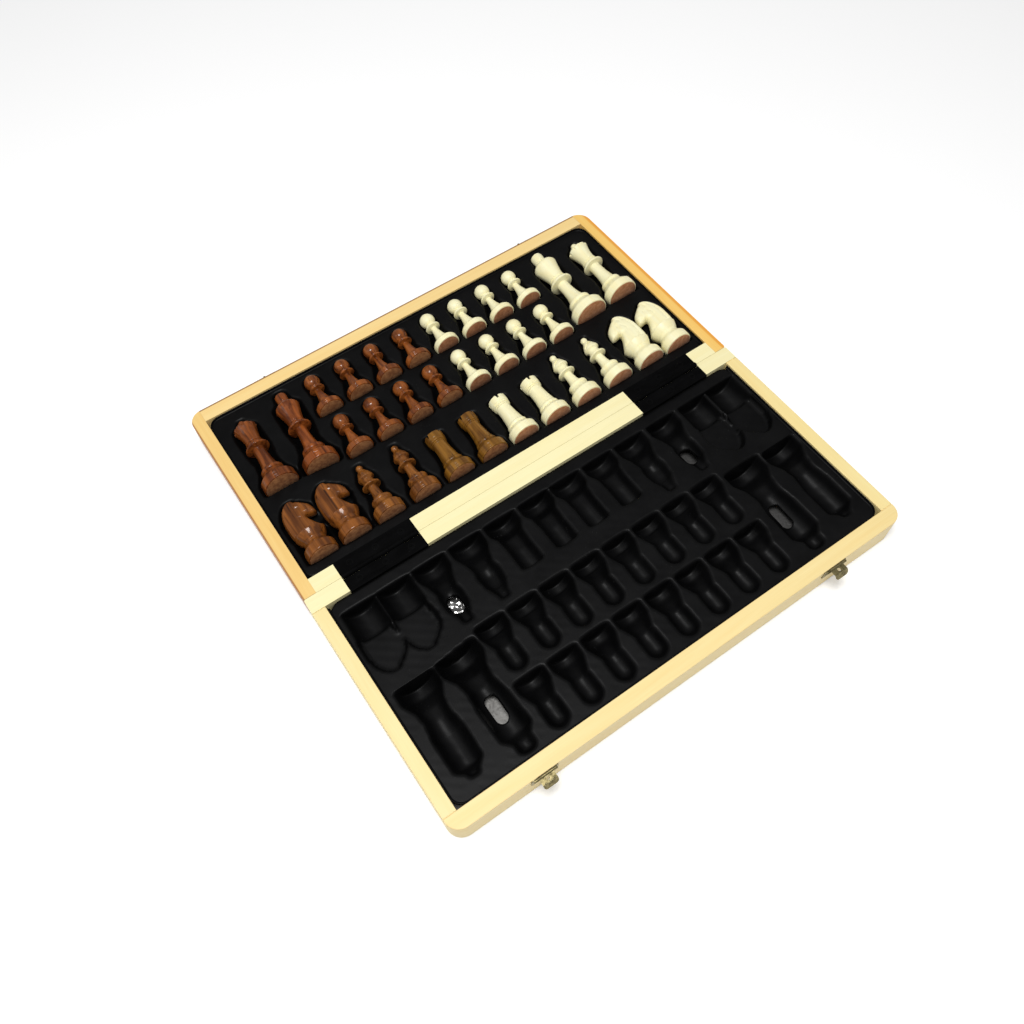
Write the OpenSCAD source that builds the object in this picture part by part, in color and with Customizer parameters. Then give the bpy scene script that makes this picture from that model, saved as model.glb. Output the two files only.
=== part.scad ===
// Folding wooden chess box, lying open and flat, with a full set in its flocked trays.
// The base is the far half (+Y) and the lid is the near half (-Y). They meet at a seam
// that runs along X. Each half has four walls, a playing board panel let in underneath,
// a thin liner and a formed tray. Two butt hinges join the rims at the seam, and two
// small hasps on the lid's front wall hook over studs on the base's far wall.

/* [Wooden walls] */
// Thickness of the left and right walls
side_wall_t = 10; // [7:0.5:16]
// Thickness of the far wall and of the lid's front wall
end_wall_t = 12; // [9:0.5:18]
// Thickness of the two walls that carry the hinges
hinge_wall_t = 12.5; // [11:0.5:18]
// Radius of the box's outer upright corners
corner_r = 11; // [6:0.5:16]
// Radius of the upright corners at the seam
seam_corner_r = 1.5; // [0.5:0.25:4]
// Gap between the two halves at the seam, when open
seam_gap = 0.2; // [0.1:0.05:0.6]
// Gap between the two rims, when closed
rim_gap = 0.3; // [0.2:0.05:1]

/* [Playing board] */
// Thickness of the panel that carries the playing board
panel_t = 4; // [3:0.5:8]
// Pale wood left showing round the panel
frame_w = 5; // [3:0.5:6]
// Gap round the panel in its rebate
panel_fit = 0.1; // [0.05:0.05:0.4]
// From the box's side to the first square
border_w = 22; // [12:1:40]
// Thickness of the light squares
inlay_t = 1; // [0.5:0.25:2]
// Gap round each light square in its recess
inlay_fit = 0.05; // [0.02:0.01:0.15]
// Thickness of the grey liner on the panel
liner_t = 0.5; // [0.3:0.1:1.5]

/* [Trays] */
// Depth of the tray's top below the rim
tray_drop = 3; // [1.5:0.25:6]
// Thickness of the formed sheet
skin_t = 0.8; // [0.5:0.1:1.5]
// Depth of the pieces' axes below the tray's top
axis_sink = 0.5; // [0.25:0.05:0.75]
// Gap round each piece in its pocket
pocket_fit = 0.8; // [0.5:0.05:1]
// Gap between the deepest pocket and the liner
floor_gap = 0.3; // [0.1:0.1:1]
// Gap between the tray's edge and the walls
tray_fit = 0.3; // [0.1:0.1:1]
// Radius of the tray's corners
tray_corner_r = 9; // [3:1:16]
// Width of the windows in the pocket floors
window_w = 9; // [5:0.5:11]
// Length of the window in a king's pocket
king_window_l = 21; // [12:1:24]
// Length of the window in a bishop's pocket
bishop_window_l = 15; // [10:1:18]

/* [Tray edge] */
// Height of the tray's turned-up edge
tray_lip_h = 2; // [1:0.1:2.5]

/* [Places of the pieces] */
// From the hinge wall to the near row
near_margin = 11.4; // [5:0.2:20]
// From the last pieces to the far wall
far_margin = 6.2; // [3:0.5:15]
// From the outermost pieces to the side walls
side_margin = 4.5; // [3:0.1:15]
// Between the bases of neighbouring pawns
pawn_web = 5.6; // [3:0.2:9]
// Between the bases of neighbours in the near row
back_web = 6; // [3:0.2:9]
// Between the two bishops' bases
bishop_web = 6.9; // [3:0.1:10]
// Between the two knights' bases
knight_web = 3; // [1.6:0.1:6]
// Between the last pawn and the king
pawn_king_web = 6.6; // [4:0.1:12]
// Between the king and the queen
king_queen_web = 5; // [2:0.2:9]
// Between the near row's bishops and the first row of pawns
bishop_pawn_web = 10.8; // [4:0.1:16]
// Between the first and the second row of pawns
pawn_row_web = 7.9; // [3:0.2:12]
// Between a knight's ears and the king's base
knight_king_web = 14.1; // [6:0.1:20]
// How far the queen's base lies beyond the king's
queen_setback = 2; // [0:0.1:5]
// How much further out a light knight lies than the middle place, and a dark one further in
knight_side = 1.2; // [0:0.1:1.5]
// How much further in the dark king lies than the light one
dark_king_in = 2; // [0:0.1:3]
// Angle that the dark king lies at
dark_king_turn = 2.5; // [0:0.5:3]
// How much further in the dark queen lies than the light one
dark_queen_in = 2.7; // [0:0.1:3.5]

/* [King] */
// Radius of the king's base
king_base_r = 15.1; // [14.5:0.1:17]
// Height of the king's foot
king_foot_h = 7.6; // [6:0.1:11]
// From the king's foot to its collar
king_stem_h = 33.9; // [26:0.1:40]
// Radius of the king's neck
king_neck_r = 4.9; // [3.5:0.1:7]
// Radius of the king's collar
king_collar_r = 10.4; // [8.5:0.1:12]
// From the king's collar to its top
king_head_h = 37.1; // [32:0.1:42]
// Radius of the king's crown
king_head_r = 10.6; // [9.5:0.1:13]
// Thickness of the dark king compared with the light one
dark_king_girth = 0.92; // [0.9:0.01:1]
// Length of the dark king compared with the light one
dark_king_length = 0.963; // [0.94:0.001:1]

/* [Queen] */
// Radius of the queen's base
queen_base_r = 13.9; // [13.5:0.1:16.5]
// Height of the queen's foot
queen_foot_h = 7.2; // [6:0.1:11]
// From the queen's foot to its collar
queen_stem_h = 32.8; // [26:0.2:40]
// Radius of the queen's neck
queen_neck_r = 4.9; // [3.5:0.1:7]
// Radius of the queen's collar
queen_collar_r = 9.6; // [8.5:0.1:12]
// From the queen's collar to its top
queen_head_h = 29.2; // [25:0.1:36]
// Radius of the queen's coronet
queen_head_r = 9.4; // [8.5:0.1:12]

/* [Rook] */
// Radius of the rook's base
rook_base_r = 11.9; // [11:0.05:14]
// Height of the rook's foot
rook_foot_h = 6.6; // [6:0.1:10]
// From the rook's foot to the ring under its tower
rook_stem_h = 25.3; // [18:0.1:30]
// Radius of the rook's stem
rook_neck_r = 5.9; // [5:0.1:7]
// From the ring to the rook's top
rook_head_h = 9.2; // [8.5:0.1:12]
// Radius of the rook's tower
rook_head_r = 7.6; // [7.2:0.1:9]

/* [Bishop] */
// Radius of the bishop's base
bishop_base_r = 11.9; // [11:0.1:14]
// Height of the bishop's foot
bishop_foot_h = 7.2; // [6:0.1:10]
// From the bishop's foot to its collar
bishop_stem_h = 22.3; // [17:0.1:27]
// Radius of the bishop's neck
bishop_neck_r = 3.7; // [3:0.1:6]
// Radius of the bishop's collar
bishop_collar_r = 7.6; // [6.5:0.1:9]
// From the bishop's collar to its top
bishop_head_h = 20.1; // [18:0.1:26]
// Radius of the bishop's mitre
bishop_head_r = 6.5; // [5.5:0.1:8]

/* [Knight] */
// Radius of the knight's base
knight_base_r = 12.2; // [11.5:0.1:14]
// Height of the knight's foot
knight_foot_h = 7.3; // [6:0.1:9]
// Height of the plinth's top edge under the horse's neck
knight_plinth_h = 21; // [18:0.5:24]
// From the plinth to the ear tips
knight_head_h = 32; // [28:0.5:38]
// Thickness of the horse's head
knight_head_t = 11.4; // [8:0.2:14]

/* [Pawn] */
// Radius of the pawn's base
pawn_base_r = 10.7; // [10:0.1:13]
// Height of the pawn's foot
pawn_foot_h = 4.8; // [4:0.1:7]
// From the pawn's foot to its collar
pawn_stem_h = 18.4; // [14:0.1:22]
// Radius of the pawn's neck
pawn_neck_r = 2.6; // [2:0.1:4]
// Radius of the pawn's collar
pawn_collar_r = 6.4; // [5.8:0.1:7.5]
// From the pawn's collar to its top
pawn_head_h = 14.1; // [13:0.1:20]
// Radius of the pawn's ball
pawn_ball_r = 6.4; // [5.5:0.1:7.5]

/* [Felt] */
// Thickness of the felt disc under each piece
felt_t = 0.4; // [0.2:0.1:1]
// Wood left showing round the felt disc
felt_edge = 1.1; // [0.8:0.1:3]
// Thickness of the glue line between the felt and the wood
glue_t = 0.05; // [0.02:0.01:0.1]

/* [Hinges] */
// Length of a hinge
hinge_l = 63; // [40:1:70]
// From the middle of the box to the middle of a hinge
hinge_x = 128.5; // [60:0.5:130]
// Thickness of a hinge leaf
leaf_t = 1.2; // [0.8:0.1:2]
// Thickness of the edge that a leaf turns down over the wall's inner face
leaf_lip_t = 0.8; // [0.6:0.1:1.2]
// Gap between that edge and the tray under it
leaf_lip_gap = 0.1; // [0.05:0.05:0.5]
// Radius of the hinge's knuckles
knuckle_r = 2; // [1.6:0.1:3]
// Radius of the hinge pin
hinge_pin_r = 0.95; // [0.6:0.05:1.1]
// Running gap round a pin in its knuckles
pin_fit = 0.05; // [0.03:0.01:0.1]
// Gap between neighbouring knuckles
knuckle_gap = 0.2; // [0.1:0.05:0.5]
// Radius of the hinge screws' heads
screw_head_r = 2.5; // [2:0.1:3]
// Radius of the hinge screws' shanks
screw_r = 1.2; // [0.8:0.1:1.5]
// Length of the hinge screws
screw_l = 10; // [6:0.5:14]
// Gap round the screws in their holes
screw_fit = 0.05; // [0.02:0.01:0.1]

/* [Latches] */
// From the middle of the box to the middle of a latch
latch_x = 123; // [60:1:160]
// Width of the latch and catch plates
plate_w = 20.5; // [18:0.5:30]
// Height of the latch plate
latch_plate_h = 9; // [7:0.25:14]
// Height of the catch plate
catch_plate_h = 8; // [6:0.25:12]
// Thickness of both plates
plate_t = 0.6; // [0.4:0.1:0.8]
// Depth of the latch plate's top edge below the rim
latch_plate_drop = 0.3; // [0.1:0.1:1]
// Depth of the catch plate's top edge below the rim
catch_plate_drop = 0.6; // [0.6:0.1:0.7]
// Width of a hasp
hasp_w = 11; // [8:0.5:12]
// Thickness of a hasp
hasp_t = 0.6; // [0.4:0.05:0.8]
// From the hasp's pivot to its bend
hasp_l = 5.1; // [4.6:0.1:7]
// From the bend to the tip of the finger tab
tab_l = 4.2; // [2.5:0.1:6]
// Angle of the finger tab below the hasp
tab_bend = 60; // [30:5:75]
// Radius of the hasp's barrel
barrel_r = 1.1; // [0.9:0.05:1.2]
// Radius of the hasp's pin
hasp_pin_r = 0.5; // [0.3:0.05:0.6]
// From the wall to the hasp's pivot
pivot_out = 1.3; // [1.3:0.05:1.6]
// Depth of the hasp's pivot below the lid's rim
pivot_drop = 0.6; // [0.5:0.05:0.8]
// Width of each of the latch plate's knuckles
ear_w = 3; // [2:0.25:3.5]
// Radius of the catch stud
stud_r = 1; // [0.7:0.05:1.05]
// From the hasp's pivot to the hole for the stud
stud_reach = 2.6; // [2.5:0.05:2.8]
// Gap round the stud in the hasp's hole
stud_fit = 0.25; // [0.15:0.05:0.3]
// From the wall to the top of the stud
stud_out = 2.1; // [1.9:0.05:2.2]
// Radius of the nails' heads
nail_head_r = 1.1; // [0.8:0.1:1.5]
// Radius of the nails
nail_r = 0.5; // [0.3:0.05:0.7]
// Length of the nails
nail_l = 6; // [4:0.5:8]

/* [Hidden] */
$fn = 72;

// Facets and rounding of the small turned curves
bead_steps = 6;
curve_steps = 6;
tile_count = 8;
knuckles = 5;
screws = 3;

// Lengths of the pieces, from the felt's face to the top
king_collar_h = 2.2;
queen_collar_h = 2;
bishop_collar_h = 1.7;
pawn_collar_h = 1.5;
king_collar_t = king_foot_h + king_stem_h;
king_len = king_collar_t + king_collar_h + king_head_h;
queen_collar_t = queen_foot_h + queen_stem_h;
queen_len = queen_collar_t + queen_collar_h + queen_head_h;
rook_ring_t = rook_foot_h + rook_stem_h;
rook_len = rook_ring_t + rook_head_h;
bishop_collar_t = bishop_foot_h + bishop_stem_h;
bishop_len = bishop_collar_t + bishop_collar_h + bishop_head_h;
pawn_collar_t = pawn_foot_h + pawn_stem_h;
pawn_len = pawn_collar_t + pawn_collar_h + pawn_head_h;
knight_len = knight_plinth_h + knight_head_h;

// Radii of the beads above the feet
king_bead_r = king_base_r - 5;
queen_bead_r = queen_base_r - 4.8;
rook_bead_r = rook_base_r - 3.4;
bishop_bead_r = bishop_base_r - 3.6;
bead_lift = 7;
bead_h = 3.5;

// Places of the pieces' axes along X, and of their bases along Y from the seam
pawn_pitch = 2 * pawn_base_r + pawn_web;
pawn_x = [for (i = [0 : 3]) pawn_pitch * (i + 0.5)];
king_x = pawn_x[3] + pawn_base_r + pawn_king_web + king_base_r;
queen_x = king_x + king_base_r + king_queen_web + queen_base_r;
rook_x0 = rook_base_r + back_web * 0.4;
rook_x1 = rook_x0 + 2 * rook_base_r + back_web;
bishop_x0 = rook_x1 + rook_base_r + back_web + bishop_base_r;
bishop_x1 = bishop_x0 + 2 * bishop_base_r + bishop_web;
knight_x0 = bishop_x1 + bishop_base_r + back_web + knight_base_r;
knight_x1 = knight_x0 + 2 * knight_base_r + knight_web;
near_y = hinge_wall_t + near_margin;
pawn_y0 = near_y + max(rook_len, bishop_len) + bishop_pawn_web;
pawn_y1 = pawn_y0 + pawn_len + pawn_row_web;
king_y = near_y + knight_len + knight_king_web;
queen_y = king_y + queen_setback;

// The box round the pieces
row_end_x = max(queen_x + queen_base_r, knight_x1 + knight_side + knight_base_r);
inner_w = row_end_x + side_margin;
row_end_y = max(pawn_y1 + pawn_len, king_y + king_len, queen_y + queen_len);
inner_y = row_end_y + far_margin;
half_w = inner_w + side_wall_t;
half_d = inner_y + end_wall_t;
axis_drop = tray_drop + axis_sink;
pocket_r = max(king_base_r, queen_base_r) + pocket_fit;
half_h = panel_t + liner_t + floor_gap + skin_t + pocket_r + axis_drop;
axis_z = half_h - axis_drop;
tray_z = half_h - tray_drop;
square_w = 2 * (half_w - border_w) / tile_count;

// The seam lies off the origin, because the hasps reach further out than the studs
hasp_reach = pivot_out + hasp_l + tab_l * cos(tab_bend) + hasp_t / 2 * sin(tab_bend);
seam_y = (hasp_reach - stud_out) / 2;

// The hinge axis lies between the two rims when the box is closed
hinge_z = half_h + rim_gap / 2;
relief_r = knuckle_r + 0.3;
leaf_in = hinge_wall_t;
screw_y = knuckle_r + (leaf_in - knuckle_r) / 2;
screw_pitch = hinge_l / screws;
pin_cap_t = 0.4;
stack_l = hinge_l - 2 * (pin_cap_t + knuckle_gap);
knuckle_w = (stack_l - (knuckles - 1) * knuckle_gap) / knuckles;
pin_cap_r = hinge_pin_r + 0.4;

// The latch, on the lid's front wall, and the catch, on the base's far wall
pivot_z = half_h - pivot_drop;
stud_z = half_h + rim_gap + pivot_drop - stud_reach;
hole_r = stud_r + stud_fit;
hasp_gap = 0.15;
latch_nail_drop = latch_plate_drop + latch_plate_h * 0.62;
catch_nail_drop = catch_plate_drop + catch_plate_h * 0.62;
nail_x = plate_w / 2 - 3;
nail_head_t = 0.5;

// Colours
pale_wood = "#f0dca0";
walnut = "#5a3c28";
square_wood = "#e6cd96";
flock = "#151515";
liner_grey = "#a8a8a6";
black_iron = "#202022";
brass = "#b99a5a";
light_wood = "#f2e6bc";
dark_wood = "#7a4220";
felt_brown = "#8c5f42";

// Frames: a half is drawn with the seam at y = 0 and the half itself at y > 0
module at_base() {
    translate([0, seam_y, 0]) children();
}

module at_lid() {
    translate([0, seam_y, 0]) mirror([0, 1, 0]) children();
}

module both_sides(x) {
    for (side = [-1, 1]) translate([side * x, 0, 0]) children();
}

// Plan of one half: two large corners away from the seam and two small ones at it
module half_plan(inset, seam_r) {
    w = half_w - inset;
    y0 = seam_gap / 2;
    y1 = half_d - inset;
    r = corner_r - inset;
    translate([-w, y0 + seam_r]) square([2 * w, y1 - r - y0 - seam_r]);
    translate([-w + r, y0 + seam_r]) square([2 * (w - r), y1 - y0 - seam_r]);
    translate([-w + seam_r, y0]) square([2 * (w - seam_r), y1 - r - y0]);
    both_sides(w - r) translate([0, y1 - r]) circle(r);
    both_sides(w - seam_r) translate([0, y0 + seam_r]) circle(seam_r);
}

// The space that the panel takes, open at the seam
module panel_space(inset, depth) {
    w = half_w - frame_w - inset;
    y1 = half_d - frame_w - inset;
    r = corner_r - frame_w;
    translate([0, 0, -depth]) linear_extrude(panel_t + depth) union() {
        translate([-w, -depth]) square([2 * w, y1 - r + depth]);
        translate([-w + r, -depth]) square([2 * (w - r), y1 + depth]);
        both_sides(w - r) translate([0, y1 - r]) circle(r);
    }
}

// A wall is the part of the half's plan inside one rectangle
module wall(x0, x1, y0, y1) {
    difference() {
        linear_extrude(half_h) intersection() {
            half_plan(0, seam_corner_r);
            translate([x0, y0]) square([x1 - x0, y1 - y0]);
        }
        panel_space(0, 1);
    }
}

// What the hinges need cut out of the rim: leaf beds, knuckle room and pilot holes
module hinge_cuts() {
    both_sides(hinge_x) {
        translate([-hinge_l / 2 - screw_fit, -1, half_h - leaf_t])
            cube([hinge_l + 2 * screw_fit, leaf_in + 2, leaf_t + 1]);
        translate([-hinge_l / 2 - screw_fit, 0, hinge_z]) rotate([0, 90, 0])
            cylinder(h = hinge_l + 2 * screw_fit, r = relief_r + screw_fit);
        for (i = [0 : screws - 1])
            translate([(i + 0.5) * screw_pitch - hinge_l / 2, screw_y, half_h - screw_l - 1])
                cylinder(h = screw_l + 1, r = screw_r + screw_fit);
    }
}

module nail_holes(drop) {
    both_sides(latch_x) both_sides(nail_x)
        translate([0, half_d + 1, half_h - drop]) rotate([90, 0, 0])
            cylinder(h = nail_l + 1 + screw_fit, r = nail_r + screw_fit);
}

module base_far_wall() {
    color(pale_wood) at_base() difference() {
        wall(-inner_w, inner_w, inner_y, half_d);
        nail_holes(catch_nail_drop);
    }
}

module base_left_wall() {
    color(pale_wood) at_base() wall(-half_w, -inner_w, 0, half_d);
}

module base_right_wall() {
    color(pale_wood) at_base() wall(inner_w, half_w, 0, half_d);
}

module base_hinge_wall() {
    color(pale_wood) at_base() difference() {
        wall(-inner_w, inner_w, 0, hinge_wall_t);
        hinge_cuts();
    }
}

module lid_front_wall() {
    color(pale_wood) at_lid() difference() {
        wall(-half_w, half_w, inner_y, half_d);
        nail_holes(latch_nail_drop);
    }
}

module lid_left_wall() {
    color(pale_wood) at_lid() wall(-half_w, -inner_w, hinge_wall_t, inner_y);
}

module lid_right_wall() {
    color(pale_wood) at_lid() wall(inner_w, half_w, hinge_wall_t, inner_y);
}

module lid_hinge_wall() {
    color(pale_wood) at_lid() difference() {
        wall(-half_w, half_w, 0, hinge_wall_t);
        hinge_cuts();
    }
}

// The light squares of one half, on the underside. The corner square at the left
// of the base is light, and the colours change over at every step.
module light_squares(fit, first) {
    for (row = [0 : tile_count / 2 - 1])
        for (column = [0 : tile_count - 1])
            if ((row + column + first) % 2 == 0)
                translate([
                    -half_w + border_w + column * square_w + fit,
                    row * square_w + fit + (row == 0 ? seam_gap / 2 : 0),
                    0
                ])
                    cube([
                        square_w - 2 * fit,
                        square_w - 2 * fit - (row == 0 ? seam_gap / 2 : 0),
                        inlay_t
                    ]);
}

module panel(first) {
    difference() {
        intersection() {
            panel_space(panel_fit, 0);
            translate([-half_w, seam_gap / 2, 0])
                cube([2 * half_w, half_d, panel_t]);
        }
        light_squares(inlay_fit, first);
    }
}

module base_panel() {
    color(walnut) at_base() panel(0);
}

module base_light_squares() {
    color(square_wood) at_base() light_squares(2 * inlay_fit, 0);
}

module lid_panel() {
    color(walnut) at_lid() panel(1);
}

module lid_light_squares() {
    color(square_wood) at_lid() light_squares(2 * inlay_fit, 1);
}

module liner() {
    translate([-inner_w + tray_fit, hinge_wall_t + tray_fit, panel_t])
        cube([2 * (inner_w - tray_fit), inner_y - hinge_wall_t - 2 * tray_fit, liner_t]);
}

module base_liner() {
    color(liner_grey) at_base() liner();
}

module lid_liner() {
    color(liner_grey) at_lid() liner();
}

// Turned curves as lists of [radius, height] points
function bead(r0, r1, t0, t1) =
    [for (i = [0 : bead_steps])
        [r0 + (r1 - r0) * sin(180 * i / bead_steps),
         (t0 + t1) / 2 - (t1 - t0) / 2 * cos(180 * i / bead_steps)]];

function curve(r0, r1, t0, t1, power) =
    [for (i = [0 : curve_steps])
        [r0 + (r1 - r0) * pow(i / curve_steps, power), t0 + (t1 - t0) * i / curve_steps]];

// A stem that narrows from its bead to its neck, under the collar
function stem(r_low, r_neck, t0, t1, power) =
    [for (i = [0 : curve_steps])
        [r_neck + (r_low - r_neck) * pow(1 - i / curve_steps, power),
         t0 + (t1 - t0) * i / curve_steps]];

function ball(r, t, a0) =
    [for (i = [0 : bead_steps])
        let (a = a0 + (90 - a0) * i / bead_steps)
            [r * cos(a), t + r * sin(a)]];

function foot(r, h) =
    let (t = felt_t + glue_t)
        [[0, t], [r - 0.4, t], [r, t + 0.4], [r, h], [r - 1, h + 1.3]];

function king_profile() = let (c = king_collar_t + king_collar_h) concat(
    foot(king_base_r, king_foot_h),
    [[king_bead_r + 1.6, king_foot_h + 4], [king_bead_r - 0.5, king_foot_h + bead_lift - 0.5]],
    bead(king_bead_r - 0.8, king_bead_r, king_foot_h + bead_lift, king_foot_h + bead_lift + bead_h),
    stem(king_bead_r - 2.3, king_neck_r, king_foot_h + bead_lift + bead_h + 0.6,
         king_collar_t - 0.5, 3),
    bead(king_collar_r - 1, king_collar_r, king_collar_t, c),
    [[king_collar_r - 2.8, c + 1], [king_collar_r - 3, c + 1.4], [king_collar_r - 3.6, c + 3.6]],
    bead(king_collar_r - 3.5, king_collar_r - 2.9, c + 3.8, c + 5.1),
    curve(king_head_r - 3.6, king_head_r, c + 5.4, king_len - 16.3, 1.3),
    curve(king_head_r, king_head_r - 5.4, king_len - 15.8, king_len - 10.8, 2.2),
    [[4.3, king_len - 10.4], [4.3, king_len - 9.4], [5, king_len - 8.8], [5.4, king_len - 3],
     [4.9, king_len - 0.9], [3.4, king_len], [0, king_len]]
);

function queen_profile() = let (c = queen_collar_t + queen_collar_h) concat(
    foot(queen_base_r, queen_foot_h),
    [[queen_bead_r + 1.6, queen_foot_h + 4], [queen_bead_r - 0.5, queen_foot_h + bead_lift - 0.2]],
    bead(queen_bead_r - 0.8, queen_bead_r,
         queen_foot_h + bead_lift + 0.4, queen_foot_h + bead_lift + bead_h),
    stem(queen_bead_r - 2.1, queen_neck_r, queen_foot_h + bead_lift + bead_h + 0.6,
         queen_collar_t - 0.5, 3),
    bead(queen_collar_r - 1, queen_collar_r, queen_collar_t, c),
    [[queen_collar_r - 2.6, c + 1], [queen_collar_r - 2.8, c + 1.4], [queen_collar_r - 3.4, c + 3.6]],
    bead(queen_collar_r - 3.3, queen_collar_r - 2.7, c + 3.8, c + 5.1),
    curve(queen_head_r - 3, queen_head_r, c + 5.4, queen_len - 9, 2),
    [[queen_head_r - 0.3, queen_len - 8.2]],
    curve(queen_head_r - 1.2, 2.6, queen_len - 8.2, queen_len - 4.8, 2),
    ball(2.8, queen_len - 2.8, -30)
);

function rook_profile() = concat(
    foot(rook_base_r, rook_foot_h),
    [[rook_bead_r + 0.7, rook_foot_h + 3]],
    bead(rook_bead_r - 0.5, rook_bead_r, rook_foot_h + 4.4, rook_foot_h + bead_lift - 0.2),
    stem(rook_bead_r - 0.9, rook_neck_r, rook_foot_h + bead_lift + 0.4, rook_ring_t - 0.4, 2),
    bead(rook_head_r - 1.4, rook_head_r - 0.7, rook_ring_t, rook_ring_t + 1.2),
    bead(rook_head_r - 1, rook_head_r - 0.3, rook_ring_t + 1.5, rook_ring_t + 3),
    [[rook_head_r - 0.6, rook_ring_t + 3.4], [rook_head_r, rook_ring_t + 4.2]],
    [[rook_head_r, rook_len - 0.3], [rook_head_r - 0.3, rook_len], [0, rook_len]]
);

function bishop_profile() = let (c = bishop_collar_t + bishop_collar_h) concat(
    foot(bishop_base_r, bishop_foot_h),
    [[bishop_bead_r + 0.4, bishop_foot_h + 3.4], [bishop_bead_r - 0.5, bishop_foot_h + 5.4]],
    bead(bishop_bead_r - 0.6, bishop_bead_r, bishop_foot_h + 6.4, bishop_foot_h + 9.1),
    stem(bishop_bead_r - 2.9, bishop_neck_r, bishop_foot_h + 9.7, bishop_collar_t - 0.4, 3),
    bead(bishop_collar_r - 0.9, bishop_collar_r, bishop_collar_t, c),
    [[bishop_collar_r - 2, c + 1], [bishop_head_r - 1.8, c + 3], [bishop_head_r - 1.9, bishop_len - 15.2],
     [bishop_head_r - 1, bishop_len - 14.2], [bishop_head_r - 0.1, bishop_len - 13.6]],
    curve(bishop_head_r, 2.9, bishop_len - 12.8, bishop_len - 5.4, 1.25),
    ball(2.8, bishop_len - 2.8, -50)
);

function pawn_profile() = let (c = pawn_collar_t + pawn_collar_h) concat(
    foot(pawn_base_r, pawn_foot_h),
    [[pawn_base_r - 2.8, pawn_foot_h + 2.5]],
    stem(pawn_base_r - 5.1, pawn_neck_r, pawn_foot_h + 3.9, pawn_collar_t - 0.4, 1.6),
    bead(pawn_collar_r - 0.9, pawn_collar_r, pawn_collar_t, c),
    [[pawn_collar_r - 1.5, c + 0.6]],
    bead(pawn_collar_r - 1.9, pawn_collar_r - 1.4, c + 0.8, c + 1.7),
    ball(pawn_ball_r, pawn_len - pawn_ball_r, -58)
);

function knight_profile() = concat(
    foot(knight_base_r, knight_foot_h),
    [[knight_base_r - 3, knight_foot_h + 3.9]],
    bead(knight_base_r - 3.7, knight_base_r - 3.2, knight_foot_h + 4.6, knight_foot_h + 6.2),
    curve(knight_base_r - 3.5, knight_base_r, knight_foot_h + 6.6, knight_plinth_h - 0.4, 0.7),
    [[knight_base_r - 0.6, knight_plinth_h], [0, knight_plinth_h]]
);

// Outline of the horse's head above the plinth, with its face towards -X.
// Heights are measured from the plinth's top edge.
throat = [[-11, 12.9], [-7.6, 13.4], [-4, 14.8], [-5.6, 10], [-8.2, 5.6]];
face = [
    [10.2, -2], [12.2, 1], [12.8, 5], [12.9, 10], [12.7, 16], [11.9, 20.8], [10.2, 25.2],
    [7.8, 28.6], [5, 30.9], [2.6, 31.8], [0.6, 32], [-1.2, 31.3], [-1.6, 29.3], [-3.8, 28.8],
    [-7, 26], [-9.6, 24], [-11.6, 21.2], [-12.4, 18.4], [-12.7, 15.4], [-12.9, 13.4]
];
chest = [[-10.8, 1.4], [-12, -1], [-11.6, -2]];
face_h = 32;

function head_outline() = [
    for (p = concat(face, throat, chest))
        [p[0], knight_plinth_h + p[1] * knight_head_h / face_h]
];

// The pocket's outline passes straight over the throat and stands off by a gap
function head_pocket_outline(gap) =
    let (middle = [0, knight_plinth_h + knight_head_h * 0.35])
        [for (p = concat(face, chest))
            let (q = [p[0], knight_plinth_h + p[1] * knight_head_h / face_h],
                 away = q - middle)
                q + away * gap * 1.15 / norm(away)];

// Pockets as lists of [radius, height] points, each a gap wider than its piece
function king_pocket(g) = [
    [0, -g], [king_base_r + g, -g], [king_base_r + g, king_foot_h + 1 + g],
    [king_bead_r + g, king_foot_h + bead_lift + bead_h + g],
    [king_bead_r + g - 1.6, king_foot_h + king_stem_h * 0.62],
    [king_collar_r + g, king_collar_t - g],
    [king_collar_r + g, king_collar_t + king_collar_h + g],
    [king_head_r + g, king_len - 20], [king_head_r + g, king_len - 14.5],
    [5.4 + g, king_len - 8.6], [5.4 + g, king_len + g - 1.5], [3.5 + g, king_len + g],
    [0, king_len + g]
];

function queen_pocket(g) = [
    [0, -g], [queen_base_r + g, -g], [queen_base_r + g, queen_foot_h + 1 + g],
    [queen_bead_r + g, queen_foot_h + bead_lift + bead_h + g],
    [queen_bead_r + g - 1.4, queen_foot_h + queen_stem_h * 0.62],
    [queen_collar_r + g, queen_collar_t - g],
    [queen_collar_r + g, queen_collar_t + queen_collar_h + g],
    [queen_head_r + g, queen_len - 14], [queen_head_r + g, queen_len - 7.4],
    [3.8 + g, queen_len - 2.4], [3 + g, queen_len + g], [0, queen_len + g]
];

function rook_pocket(g) = [
    [0, -g], [rook_base_r + g, -g], [rook_base_r + g, rook_foot_h + 1 + g],
    [rook_bead_r + g, rook_foot_h + bead_lift + g],
    [rook_neck_r + 1.6 + g, rook_foot_h + rook_stem_h * 0.72],
    [rook_head_r + g, rook_ring_t - 1 - g],
    [rook_head_r + g, rook_len + g], [0, rook_len + g]
];

function bishop_pocket(g) = [
    [0, -g], [bishop_base_r + g, -g], [bishop_base_r + g, bishop_foot_h + 1 + g],
    [bishop_bead_r + g, bishop_foot_h + 9 + g],
    [bishop_neck_r + 2.6 + g, bishop_foot_h + bishop_stem_h * 0.78],
    [bishop_collar_r + g, bishop_collar_t - g],
    [bishop_collar_r + g, bishop_collar_t + bishop_collar_h + g],
    [bishop_head_r + 0.4 + g, bishop_len - 12],
    [3.4 + g, bishop_len - 4], [3 + g, bishop_len + g], [0, bishop_len + g]
];

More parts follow.
